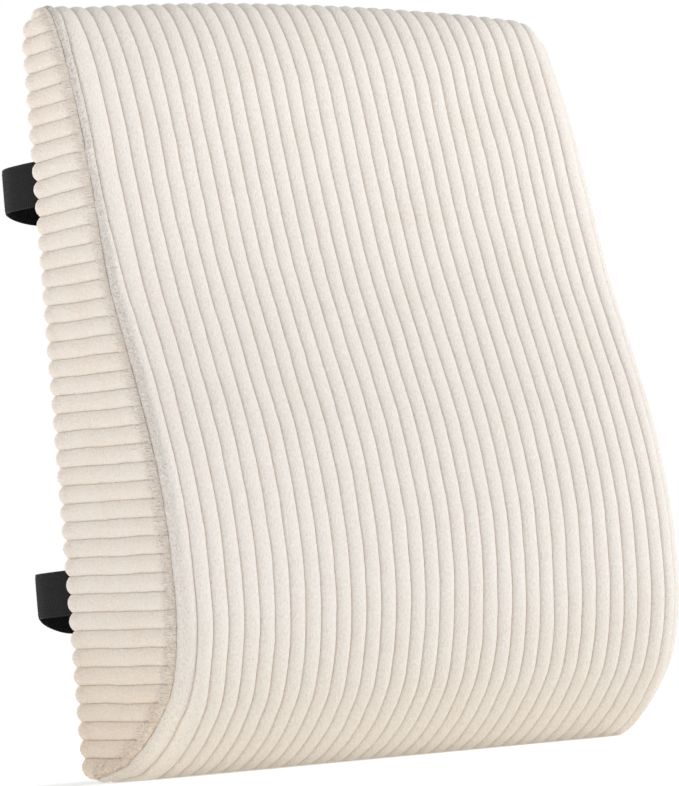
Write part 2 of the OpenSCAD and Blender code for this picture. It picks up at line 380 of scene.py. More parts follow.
def capsules(starts: Array, ends: Array, radius: float, flat: float = 1.0) -> tuple[Array, list]:
    """Rows of stitches: each is a tube with round ends from its start to its end.

    The ring at share t of the length has radius r * sqrt(1 - (2t - 1)^6).

    Args:
        starts: where each begins.
        ends: where each ends.
        radius: the thread's radius.
        flat: how thick it is along its second axis, against its width.

    Returns:
        The vertices and the faces.
    """
    rings, sides = 6, 6
    t = np.linspace(0.02, 0.98, rings)
    swell = radius * np.sqrt(1 - (2 * t - 1) ** 6)
    direction = ends - starts
    unit = direction / np.linalg.norm(direction, axis=1, keepdims=True)
    guide = np.where(np.abs(unit[:, 1:2]) < 0.9, [[0.0, 1.0, 0.0]], [[1.0, 0.0, 0.0]])
    first = np.cross(unit, guide)
    first /= np.linalg.norm(first, axis=1, keepdims=True)
    second = np.cross(unit, first) * flat
    turn = np.arange(sides) * 2 * np.pi / sides
    offset = first[:, None] * np.cos(turn)[None, :, None] + second[:, None] * np.sin(turn)[None, :, None]
    middles = starts[:, None, None] + direction[:, None, None] * t[None, :, None, None]
    threads = middles + offset[:, None] * swell[None, :, None, None]
    return joined([capped(thread) for thread in threads])


def swept(path: Array, section: Array, up: Array) -> Array:
    """Rings of a section carried along a path, closed round the section.

    Args:
        path: the path's points.
        section: offsets (across, up) for each ring, as place x 2 or ring x place x 2.
        up: the direction that the section's second number points in.

    Returns:
        The rings, as ring x place x 3.
    """
    forward = np.gradient(path, axis=0)
    forward /= np.linalg.norm(forward, axis=1, keepdims=True)
    across = np.cross(forward, up)
    across /= np.linalg.norm(across, axis=1, keepdims=True)
    lift = np.cross(across, forward)
    offsets = np.broadcast_to(section, (len(path),) + section.shape[-2:])
    return path[:, None] + across[:, None] * offsets[..., :1] + lift[:, None] * offsets[..., 1:]


def box_of(node: str) -> Array:
    """The lowest and the highest corner of a CAD node's box."""
    return np.array(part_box(node))


def finish_piece(piece: bpy.types.Object, material: bpy.types.Material, body: str,
                 nodes: Sequence[str] = ()) -> bpy.types.Object:
    """Gives a piece its material, its body and the nodes that it stands for.

    Args:
        piece: the object.
        material: its material.
        body: the body that it rides on.
        nodes: the CAD nodes that it replaces.

    Returns:
        The piece.
    """
    piece.data.materials.clear()
    piece.data.materials.append(material)
    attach(piece, body)
    if nodes:
        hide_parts(*nodes)
    log.info("%s: %d faces on %s", piece.name, len(piece.data.polygons), body)
    return piece


def softened(node: str, name: str, width: float, segments: int = 2) -> bpy.types.Object:
    """A copy of a hard part with its triangles merged and its sharp edges rounded.

    Args:
        node: the CAD node.
        name: the new piece's name.
        width: the width of the rounded edges.
        segments: how many strips round an edge.

    Returns:
        The new object.
    """
    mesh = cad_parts[node].data.copy()
    mesh.name = name
    shape = bmesh.new()
    shape.from_mesh(mesh)
    bmesh.ops.remove_doubles(shape, verts=shape.verts, dist=1e-6)
    bmesh.ops.dissolve_limit(shape, angle_limit=math.radians(0.5), verts=shape.verts, edges=shape.edges)
    shape.to_mesh(mesh)
    shape.free()
    mesh.polygons.foreach_set("use_smooth", np.ones(len(mesh.polygons), bool))
    piece = bpy.data.objects.new(name, mesh)
    bpy.context.scene.collection.objects.link(piece)
    bevel = piece.modifiers.new("edges", "BEVEL")
    bevel.width = width
    bevel.segments = segments
    bevel.limit_method = "ANGLE"
    bevel.angle_limit = math.radians(35)
    bevel.harden_normals = True
    return piece


# ------------------------------------------------------------------ finishes

class Shading:
    """Adds nodes to one tree and links them."""

    def __init__(self, tree: bpy.types.NodeTree) -> None:
        """Keeps the tree."""
        self.tree = tree

    def node(self, kind: str, **settings: object) -> bpy.types.Node:
        """Adds a node.

        Args:
            kind: the node's type.
            settings: its properties, or else its inputs by name with _ for a space.

        Returns:
            The new node.
        """
        made = self.tree.nodes.new(kind)
        for key, value in settings.items():
            if hasattr(made, key):
                setattr(made, key, value)
            else:
                self.put(made.inputs[key.replace("_", " ")], value)
        return made

    def put(self, socket: bpy.types.NodeSocket, value: object) -> None:
        """Links a socket to another, or sets its number or colour.

        Args:
            socket: the input.
            value: another node's output, or a number or colour.
        """
        if isinstance(value, bpy.types.NodeSocket):
            self.tree.links.new(value, socket)
        else:
            socket.default_value = value

    def math(self, operation: str, a: object, b: object = 0.0) -> bpy.types.NodeSocket:
        """The result of a Math node.

        Args:
            operation: what it works out.
            a: its first number, or the socket that gives it.
            b: its second.

        Returns:
            The result's socket.
        """
        made = self.tree.nodes.new("ShaderNodeMath")
        made.operation = operation
        self.put(made.inputs[0], a)
        self.put(made.inputs[1], b)
        return made.outputs[0]

    def mix(self, factor: object, a: object, b: object, blend: str = "MIX") -> bpy.types.NodeSocket:
        """The colour of a Mix node.

        Args:
            factor: how much of b is taken.
            a: the first colour, or the socket that gives it.
            b: the second.
            blend: how they are blended.

        Returns:
            The colour's socket.
        """
        made = self.tree.nodes.new("ShaderNodeMix")
        made.data_type = "RGBA"
        made.blend_type = blend
        self.put(made.inputs["Factor"], factor)
        self.put(made.inputs["A"], a)
        self.put(made.inputs["B"], b)
        return made.outputs["Result"]

    def ranged(self, value: object, low: float, high: float,
               to_low: float, to_high: float) -> bpy.types.NodeSocket:
        """A value taken from one range to another, and kept inside it.

        Args:
            value: the number, or the socket that gives it.
            low: where the first range starts.
            high: where it ends.
            to_low: where the second range starts.
            to_high: where it ends.

        Returns:
            The result's socket.
        """
        made = self.tree.nodes.new("ShaderNodeMapRange")
        given = {"Value": value, "From Min": low, "From Max": high, "To Min": to_low, "To Max": to_high}
        for name, number in given.items():
            self.put(made.inputs[name], number)
        return made.outputs[0]


def rgb(red: int, green: int, blue: int) -> tuple[float, float, float, float]:
    """A screen colour as the linear colour that shaders take.

    Args:
        red: 0 to 255.
        green: 0 to 255.
        blue: 0 to 255.

    Returns:
        Linear red, green and blue, and an alpha of 1.
    """
    share = np.array([red, green, blue]) / 255
    linear = np.where(share <= 0.04045, share / 12.92, ((share + 0.055) / 1.055) ** 2.4)
    return (*linear.tolist(), 1.0)


def group(name: str, inputs: dict[str, float], outputs: Sequence[str]) -> tuple[Shading, dict, dict]:
    """Starts a shader node group.

    Args:
        name: the group's name.
        inputs: each number that goes in, with its usual value; Vector is a place.
        outputs: the names of the numbers that come out.

    Returns:
        Its Shading, its inputs' sockets and its outputs' sockets inside the group.
    """
    tree = bpy.data.node_groups.new(name, "ShaderNodeTree")
    for key, value in inputs.items():
        kind = "NodeSocketVector" if key == "Vector" else "NodeSocketFloat"
        made = tree.interface.new_socket(name=key, in_out="INPUT", socket_type=kind)
        if key != "Vector":
            made.default_value = value
    for key in outputs:
        tree.interface.new_socket(name=key, in_out="OUTPUT", socket_type="NodeSocketFloat")
    shading = Shading(tree)
    start, end = tree.nodes.new("NodeGroupInput"), tree.nodes.new("NodeGroupOutput")
    return shading, {s.name: s for s in start.outputs}, {s.name: s for s in end.inputs}


def fibre_group() -> bpy.types.NodeTree:
    """Short fibres: two sizes of noise, a fine one for hairs and a coarse one for tufts.

    Returns:
        The group.
    """
    s, given, out = group("Fibre", {"Vector": 0, "Fine": 1500.0, "Coarse": 260.0}, ("Hair", "Tuft", "Height"))
    hair = s.node("ShaderNodeTexNoise", Vector=given["Vector"], Scale=given["Fine"], Detail=2.0)
    tuft = s.node("ShaderNodeTexNoise", Vector=given["Vector"], Scale=given["Coarse"], Detail=3.0)
    s.put(out["Hair"], s.ranged(hair.outputs[0], 0.3, 0.7, 0, 1))
    s.put(out["Tuft"], s.ranged(tuft.outputs[0], 0.3, 0.7, 0, 1))
    mixed = s.math("ADD", s.math("MULTIPLY", hair.outputs[0], 0.9), s.math("MULTIPLY", tuft.outputs[0], 0.3))
    s.put(out["Height"], mixed)
    return s.tree


def weave_group() -> bpy.types.NodeTree:
    """Crossing threads: |sin| along and |sin| across the cloth, each under the other in turn.

    Returns:
        The group.
    """
    s, given, out = group("Weave", {"Vector": 0, "Along": 1200.0, "Across": 1200.0}, ("Height", "Gap"))
    parts = s.node("ShaderNodeSeparateXYZ", Vector=given["Vector"])
    u = s.math("MULTIPLY", parts.outputs[0], given["Across"])
    v = s.math("MULTIPLY", parts.outputs[1], given["Along"])
    wave_u = s.math("ABSOLUTE", s.math("SINE", u))
    wave_v = s.math("ABSOLUTE", s.math("SINE", v))
    turn = s.math("SINE", s.math("ADD", s.math("MULTIPLY", u, 0.5), s.math("MULTIPLY", v, 0.5)))
    over = s.math("GREATER_THAN", turn, 0.0)
    under = s.math("SUBTRACT", 1.0, over)
    s.put(out["Height"], s.math("ADD", s.math("MULTIPLY", wave_u, over), s.math("MULTIPLY", wave_v, under)))
    s.put(out["Gap"], s.math("SUBTRACT", 1.0, s.math("MAXIMUM", wave_u, wave_v)))
    return s.tree


def grain_group() -> bpy.types.NodeTree:
    """Moulded or worn surface: a soft grain, and slow patches for handling marks.

    Returns:
        The group.
    """
    s, given, out = group("Grain", {"Vector": 0, "Grain": 2600.0, "Patch": 45.0}, ("Height", "Patches"))
    fine = s.node("ShaderNodeTexNoise", Vector=given["Vector"], Scale=given["Grain"], Detail=2.0)
    slow = s.node("ShaderNodeTexNoise", Vector=given["Vector"], Scale=given["Patch"], Detail=4.0)
    s.put(out["Height"], fine.outputs[0])
    s.put(out["Patches"], s.ranged(slow.outputs[0], 0.3, 0.7, 0, 1))
    return s.tree


class Effects:
    """The shared node groups, each built once."""

    fibre: bpy.types.NodeTree
    weave: bpy.types.NodeTree
    grain: bpy.types.NodeTree

    @classmethod
    def build(cls) -> None:
        """Makes the groups."""
        cls.fibre, cls.weave, cls.grain = fibre_group(), weave_group(), grain_group()


def new_material(name: str, roughness: float,
                 metallic: float = 0.0) -> tuple[bpy.types.Material, Shading, bpy.types.Node]:
    """A material with a Principled shader.

    Args:
        name: the material's name.
        roughness: the shader's roughness.
        metallic: the shader's metallic share.

    Returns:
        The material, its Shading and its Principled node.
    """
    material = bpy.data.materials.new(name)
    material.use_nodes = True
    shader = material.node_tree.nodes["Principled BSDF"]
    shader.inputs["Roughness"].default_value = roughness
    shader.inputs["Metallic"].default_value = metallic
    return material, Shading(material.node_tree), shader


def place_group(shading: Shading, tree: bpy.types.NodeTree, **values: object) -> bpy.types.Node:
    """Adds a group node.

    Args:
        shading: the material's Shading.
        tree: the group.
        values: its inputs by name.

    Returns:
        The group node.
    """
    made = shading.tree.nodes.new("ShaderNodeGroup")
    made.node_tree = tree
    for key, value in values.items():
        shading.put(made.inputs[key], value)
    return made


@dataclass(frozen=True)
class Corduroy:
    """Cream plush corduroy with wide wales.

    Attributes:
        name: the material's name.
        crest: colour on top of a wale.
        valley: colour down between two wales, painted shade that the crest colour darkens to on the lower
            part of each wale.
        warm: tint of the slow patches.
        bottom_shade_tint: painted shade that darkens and warms the cloth's lowest part.
        hollow: tint between the fibres.
        low: height below which that painted shade comes in, growing towards the base.
    """

    name: str
    crest: tuple
    valley: tuple
    warm: tuple
    bottom_shade_tint: tuple
    hollow: tuple = rgb(232, 226, 220)
    low: float = 0.09

    def make(self) -> bpy.types.Material:
        """Builds the material.

        Returns:
            The material.
        """
        material, s, shader = new_material(self.name, 0.95)
        uv = s.node("ShaderNodeUVMap", uv_map="cloth").outputs[0]
        place = s.node("ShaderNodeTexCoord").outputs["Object"]
        stretched = s.node("ShaderNodeMapping", Vector=uv, Scale=(1.0, 0.55, 1.0)).outputs[0]
        fibre = place_group(s, Effects.fibre, Vector=stretched, Fine=1000.0, Coarse=420.0)
        pile = s.node("ShaderNodeAttribute", attribute_name="pile").outputs["Fac"]
        crush = s.node("ShaderNodeAttribute", attribute_name="crush").outputs["Fac"]
        # Painted shade: the colour darkens from the crest colour to the valley colour as the wale's height,
        # the pile attribute, drops.
        colour = s.mix(s.ranged(pile, 0.0, 0.55, 0.0, 1.0), self.valley, self.crest)
        patch = s.node("ShaderNodeTexNoise", Vector=place, Scale=38.0, Detail=3.0).outputs[0]
        colour = s.mix(s.ranged(patch, 0.42, 0.72, 0.0, 0.4), colour, self.warm, "MULTIPLY")
        height = s.node("ShaderNodeSeparateXYZ", Vector=place).outputs[2]
        # Painted shade on the lowest part of the cloth, growing towards the base.
        colour = s.mix(s.ranged(height, 0.0, self.low, 1.0, 0.0), colour, self.bottom_shade_tint, "MULTIPLY")
        tuft = s.math("MULTIPLY", fibre.outputs["Tuft"], 0.25)
        hair = s.math("MULTIPLY", fibre.outputs["Hair"], 0.75)
        hollow = s.math("SUBTRACT", 1.0, s.math("ADD", tuft, hair))
        depth = s.math("ADD", 0.62, s.math("MULTIPLY", crush, 0.3))
        shade = s.mix(s.math("MULTIPLY", hollow, depth), (1.0, 1.0, 1.0, 1.0), self.hollow)
        colour = s.mix(1.0, colour, shade, "MULTIPLY")
        bump_height = s.math("MULTIPLY", fibre.outputs["Height"], s.math("ADD", 0.6, crush))
        bump = s.node("ShaderNodeBump", Strength=1.0, Distance=0.0013, Height=bump_height)
        s.put(shader.inputs["Base Color"], colour)
        s.put(shader.inputs["Normal"], bump.outputs[0])
        shader.inputs["Sheen Weight"].default_value = 0.35
        shader.inputs["Sheen Roughness"].default_value = 0.45
        shader.inputs["Sheen Tint"].default_value = (1.0, 0.98, 0.95, 1.0)
        shader.inputs["Specular IOR Level"].default_value = 0.2
        return material


@dataclass(frozen=True)
class Woven:
    """A woven or knitted cloth, whose threads follow the piece's own UV map.

    Attributes:
        name: the material's name.
        thread: colour of the threads.
        gap: colour between them; on ribbed pieces also the painted shade between the ribs.
        along: threads along the cloth, in radians a metre.
        across: threads across the cloth, in radians a metre.
        depth: height of the threads in metres.
        sheen: how much light the loose fibres catch.
        ribbed: whether the gap colour is also painted between the piece's own ribs, as shade, by their
            height.
    """

    name: str
    thread: tuple
    gap: tuple
    along: float
    across: float
    depth: float
    sheen: float = 0.1
    ribbed: bool = False

    def make(self) -> bpy.types.Material:
        """Builds the material.

        Returns:
            The material.
        """
        material, s, shader = new_material(self.name, 0.8)
        uv = s.node("ShaderNodeUVMap", uv_map="cloth").outputs[0]
        weave = place_group(s, Effects.weave, Vector=uv, Along=self.along, Across=self.across)
        fibre = place_group(s, Effects.fibre, Vector=uv, Fine=2400.0, Coarse=160.0)
        colour = s.mix(s.ranged(weave.outputs["Gap"], 0.25, 0.75, 0.0, 1.0), self.thread, self.gap)
        # Painted shade: low on the ribs, the colour darkens to the gap colour.
        if self.ribbed:
            pile = s.node("ShaderNodeAttribute", attribute_name="pile").outputs["Fac"]
            colour = s.mix(s.ranged(pile, 0.15, 0.85, 0.0, 1.0), self.gap, colour)
        worn = s.math("SUBTRACT", 1.0, s.math("MULTIPLY", fibre.outputs["Tuft"], 0.25))
        grey = s.node("ShaderNodeCombineColor", Red=worn, Green=worn, Blue=worn).outputs[0]
        s.put(shader.inputs["Base Color"], s.mix(1.0, colour, grey, "MULTIPLY"))
        s.put(shader.inputs["Roughness"], s.ranged(fibre.outputs["Hair"], 0.0, 1.0, 0.68, 0.9))
        height = s.math("ADD", weave.outputs["Height"], s.math("MULTIPLY", fibre.outputs["Hair"], 0.3))
        bump = s.node("ShaderNodeBump", Strength=0.7, Distance=self.depth, Height=height)
        s.put(shader.inputs["Normal"], bump.outputs[0])
        shader.inputs["Sheen Weight"].default_value = self.sheen
        shader.inputs["Specular IOR Level"].default_value = 0.3
        return material


@dataclass(frozen=True)
class Hard:
    """Moulded plastic, painted metal or foam: one colour with grain, handling patches and a soft gloss.

    Attributes:
        name: the material's name.
        colour: the main colour.
        worn: colour of the handled patches.
        roughness: lowest and highest roughness.
        metallic: the metallic share.
        grain: size of the grain, in cells a metre.
        depth: height of the grain in metres.
    """

    name: str
    colour: tuple
    worn: tuple
    roughness: tuple[float, float]
    metallic: float = 0.0
    grain: float = 2600.0
    depth: float = 0.00008

    def make(self) -> bpy.types.Material:
        """Builds the material.

        Returns:
            The material.
        """
        material, s, shader = new_material(self.name, self.roughness[0], self.metallic)
        place = s.node("ShaderNodeTexCoord").outputs["Object"]
        grain = place_group(s, Effects.grain, Vector=place, Grain=self.grain)
        s.put(shader.inputs["Base Color"], s.mix(grain.outputs["Patches"], self.colour, self.worn))
        s.put(shader.inputs["Roughness"], s.ranged(grain.outputs["Patches"], 0.0, 1.0, *self.roughness))
        bump = s.node("ShaderNodeBump", Strength=0.5, Distance=self.depth, Height=grain.outputs["Height"])
        s.put(shader.inputs["Normal"], bump.outputs[0])
        return material


class Finishes:
    """Every material of the object, built once."""

    def __init__(self) -> None:
        """Builds the shared effects, then the materials."""
        Effects.build()
        # The front's corduroy, with painted shade in its valleys and on its lowest part.
        self.corduroy = Corduroy(
            "cream_corduroy", crest=rgb(240, 236, 231), valley=rgb(229, 220, 211),
            warm=rgb(253, 249, 245), bottom_shade_tint=rgb(250, 247, 240)).make()
        # The side panels' corduroy: the front's cloth painted darker and warmer, as shade on panels that turn
        # away from the light, with deeper painted shade in its valleys.
        self.gusset = Corduroy(
            "cream_corduroy_sides_shaded", crest=rgb(237, 229, 220), valley=rgb(212, 198, 183),
            warm=rgb(252, 245, 238), bottom_shade_tint=rgb(250, 242, 230)).make()
        self.back = Woven(
            "black_spacer_mesh", thread=rgb(34, 34, 36), gap=rgb(8, 8, 9),
            along=1250, across=1250, depth=0.0004).make()
        self.tape = Woven(
            "zip_tape_cloth", thread=rgb(26, 26, 28), gap=rgb(10, 10, 11),
            along=5200, across=5200, depth=0.00012).make()
        self.webbing = Woven(
            "elastic_webbing", thread=rgb(40, 40, 42), gap=rgb(1, 1, 2),
            along=4200, across=2500, depth=0.0003, sheen=0.01, ribbed=True).make()
        self.thread = Woven(
            "black_thread", thread=rgb(40, 40, 42), gap=rgb(22, 22, 24),
            along=6000, across=6000, depth=0.00005).make()
        self.liner = Woven(
            "white_knit", thread=rgb(232, 231, 228), gap=rgb(190, 190, 188),
            along=2400, across=2400, depth=0.0002).make()
        self.foam = Hard(
            "memory_foam", rgb(244, 236, 206), worn=rgb(238, 226, 190),
            roughness=(0.85, 0.95), grain=900.0, depth=0.0005).make()
        self.plastic = Hard(
            "black_acetal", rgb(26, 26, 28), worn=rgb(34, 34, 36), roughness=(0.34, 0.5)).make()
        self.teeth = Hard(
            "black_nylon", rgb(22, 22, 24), worn=rgb(30, 30, 32), roughness=(0.3, 0.42)).make()
        self.metal = Hard(
            "black_plated_zinc", rgb(58, 58, 62), worn=rgb(96, 96, 100),
            roughness=(0.24, 0.4), metallic=0.9, grain=1500.0, depth=0.00003).make()


# ------------------------------------------------------------------ the cushion's shape

@dataclass
class CushionShape:
    """The stuffed form that every cover panel lies on.

    In side view it is an outline: over the top, down the front, under the base and up the back.
    Across, it is flat to within a corner radius of each side and rolls round that radius, from
    the panel's own normal towards the side. A seam runs along the roll at its own angle.

    Attributes:
        depth: from the back plane to the fullest point.
        back_corner: radius of the bottom back corner.
        back_roll: radius of the roll between a side and the back.
        crown: how far the middle of the top edge rises.
        crown_half: half the width that rises.
        corner_drop: how far the right end of the top edge falls.
        corner_from: how far from the middle the fall starts.
        corner_run: the width that it takes.
        width: across the cushion.
        height: from the base to the top edge.
        back: Y of the back plane.
        base: Z of the base.
        panel: the front panel's outline from the top back edge round to the bottom back edge, as rows
            of Y, Z, left and right corner radius, and the left and right seam's angle.
        loop: the same with the back added, all round.
        normal: the outward normal at each row of the loop.
    """

    depth: float = 106 * MM
    back_corner: float = 10 * MM
    back_roll: float = 3 * MM
    crown: float = 5 * MM
    crown_half: float = 150 * MM
    corner_drop: float = 11 * MM
    corner_from: float = 148 * MM
    corner_run: float = 32 * MM
    width: float = field(init=False)
    height: float = field(init=False)
    back: float = field(init=False)
    base: float = field(init=False)
    panel: Array = field(init=False)
    loop: Array = field(init=False)
    normal: Array = field(init=False)

    # The outline's points: share of the depth, share of the height, left and right corner radius
    # in mm, and the angle of the left and right seam on that corner in degrees.
    KNOTS = (
        (0, 0.93, 3, 3, 0, 0), (0, 0.958, 3, 3, 0, 0), (0.03, 0.984, 6, 10, 22, 30),
        (0.115, 1, 8, 18, 34, 50), (0.21, 0.99, 9, 22, 40, 60), (0.29, 0.956, 9, 23, 44, 66),
        (0.365, 0.902, 9, 23, 45, 68), (0.43, 0.833, 9, 22, 45, 68), (0.505, 0.74, 10, 20, 48, 68),
        (0.61, 0.633, 10, 20, 62, 68), (0.76, 0.523, 11, 21, 64, 68), (0.91, 0.407, 12, 23, 64, 68),
        (0.99, 0.291, 14, 24, 64, 68), (0.99, 0.181, 16, 25, 63, 68), (0.9, 0.1, 18, 26, 63, 68),
        (0.745, 0.05, 20, 25, 67, 68), (0.585, 0.0195, 20, 22, 68, 68), (0.45, 0.004, 19, 19, 68, 68),
        (0.36, 0, 16, 16, 66, 66), (0.25, 0, 12, 12, 62, 62),
    )

    def __post_init__(self) -> None:
        """Reads the sizes from the frame and works the outline out."""
        low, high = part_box("front_panel")
        self.width, self.height, self.base = high[0] - low[0], high[2] - low[2], low[2]
        self.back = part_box("back_panel")[1][1]
        self.panel = resampled(np.vstack([self._front_line(), self._bottom_corner()]), 900, axes=2)
        rise = np.linspace(self.panel[-1, 1], self.panel[0, 1], 400)[1:-1]
        back_line = np.column_stack([
            np.full(len(rise), self.back), rise,
            np.full((len(rise), 2), self.back_roll), np.zeros((len(rise), 2))])
        self.loop = np.vstack([self.panel, back_line])
        tangent = np.roll(self.loop[:, :2], -1, axis=0) - np.roll(self.loop[:, :2], 1, axis=0)
        tangent /= np.linalg.norm(tangent, axis=1, keepdims=True)
        self.normal = np.column_stack([tangent[:, 1], -tangent[:, 0]])

    def _front_line(self) -> Array:
        """A Catmull-Rom curve over the top, down the front and under the base.

        Returns:
            The outline's rows.
        """
        knots = np.array(self.KNOTS)
        path = np.column_stack([
            self.back - knots[:, 0] * self.depth, self.base + knots[:, 1] * self.height,
            knots[:, 2] * MM, knots[:, 3] * MM, np.radians(knots[:, 4]), np.radians(knots[:, 5])])
        return catmull_rom(path, 40)

    def _bottom_corner(self) -> Array:
        """A quarter circle at the bottom back edge, where the side corners tighten to the back's.

        Returns:
            The outline's rows.
        """
        centre = (self.back - self.back_corner, self.base + self.back_corner)
        corner = arc(centre, self.back_corner, -90, 0, 24)
        fade = np.linspace(1, 0, len(corner))
        radius = self.back_roll + 6 * MM * fade
        angle = np.radians(58) * np.sqrt(fade)
        return np.column_stack([corner, radius, radius, angle, angle])

    def rows(self, count: int) -> tuple[Array, Array, Array]:
        """Even stations down the front panel.

        Args:
            count: how many stations.

        Returns:
            The outline's row at each station, the outward normal there, and the length so far.
        """
        pick = np.linspace(0, len(self.panel) - 1, count)
        whole = np.arange(len(self.panel))
        panel_normal = self.normal[: len(self.panel)]
        here = np.column_stack([np.interp(pick, whole, column) for column in self.panel.T])
        normal = np.column_stack([np.interp(pick, whole, column) for column in panel_normal.T])
        normal /= np.linalg.norm(normal, axis=1, keepdims=True)
        return here, normal, along(here[:, :2])

    def lay(self, here: Array, normal: Array, across: Array, lift: Array) -> Array:
        """Places cloth points on the form.

        A point at length a across the cloth lies on the flat while a is under w/2 - r. Past that
        it has turned by (a - w/2 + r) / r round the corner of radius r.

        Args:
            here: the outline's row for each row of the cloth.
            normal: the outward normal for each row.
            across: length across the cloth from the middle, row x column.
            lift: height above the form, row x column.

        Returns:
            The places, row x column x 3.
        """
        radius = np.where(across < 0, here[:, 2:3], here[:, 3:4])
        flat = self.width / 2 - radius
        turn = np.clip((np.abs(across) - flat) / radius, 0, np.pi / 2)
        side = np.sign(across)
        reach = np.minimum(np.abs(across), flat) + (radius + lift) * np.sin(turn)
        drop = radius * (1 - np.cos(turn))
        out = lift * np.cos(turn) - drop
        y = here[:, :1] + normal[:, :1] * out
        z = here[:, 1:2] + normal[:, 1:] * out
        return np.stack([side * reach, y, z], axis=-1)

    def beside(self, places: Array, side: Side = Side.LEFT) -> tuple[Array, Array, Array, Array]:
        """What the outline is nearest to places in side view.

        Args:
            places: (Y, Z), with any leading axes.
            side: the side whose radius and angle are wanted.

        Returns:
            The distance to the outline, the radius there, the seam's angle and the outward normal.
        """
        flat = places.reshape(-1, 2)
        nearest = np.empty(len(flat), int)
        batch = 4000
        for start in range(0, len(flat), batch):
            part = flat[start:start + batch]
            gap = ((part[:, None] - self.loop[None, :, :2]) ** 2).sum(axis=-1)
            nearest[start:start + batch] = gap.argmin(axis=1)
        found = self.loop[nearest]
        distance = np.linalg.norm(flat - found[:, :2], axis=1)
        shape = places.shape[:-1]
        radius = found[:, side.radius_column].reshape(shape)
        angle = found[:, side.angle_column].reshape(shape)
        return distance.reshape(shape), radius, angle, self.normal[nearest].reshape(shape + (2,))

    def crowned(self, points: Array) -> Array:
        """Lifts the middle of the top edge and lets its right corner round off, as stuffing does.

        The lift is the crown times 1 - (x / crown_half)^2. The drop grows as the square of the way
        past corner_from. Both fade out towards 0.78 of the height.

        Args:
            points: places on the form.

        Returns:
            The moved places.
        """
        x, z = points[..., 0], points[..., 2] - self.base
        near_top = smooth(0.78 * self.height, 0.99 * self.height, z)
        lift = self.crown * np.clip(1 - (x / self.crown_half) ** 2, 0, None)
        drop = self.corner_drop * np.clip((x - self.corner_from) / self.corner_run, 0, 1) ** 2
        moved = points.copy()
        moved[..., 2] += near_top * (lift - drop)
        return moved

    def solid(self, inset: float, rings: int = 60, size: int = 240) -> tuple[Array, list]:
        """The form as one closed surface, shrunk by inset all round.

        At x it is smaller by r (1 - sqrt(1 - p^2)), where p is the share of the roll r that lies
        inside x.

        Args:
            inset: how far inside the form it lies.
            rings: rings across the width.
            size: points round the outline.

        Returns:
            The vertices and the faces.
        """
        pick = np.linspace(0, len(self.loop), size, endpoint=False).astype(int)
        place, normal = self.loop[pick, :2], self.normal[pick]
        half = self.width / 2 - inset
        x = half * np.sin(np.linspace(-np.pi / 2, np.pi / 2, rings))
        roll = np.where(x[:, None] < 0, self.loop[pick, 2][None], self.loop[pick, 3][None]) + 3 * MM
        past = np.clip((np.abs(x[:, None]) - half + roll) / roll, 0, 1)
        shrink = inset + roll * (1 - np.sqrt(1 - past**2))
        ring = place[None] - normal[None] * shrink[..., None]
        points = np.concatenate([np.broadcast_to(x[:, None, None], ring.shape[:2] + (1,)), ring], axis=-1)
        return capped(self.crowned(points), turn=True)


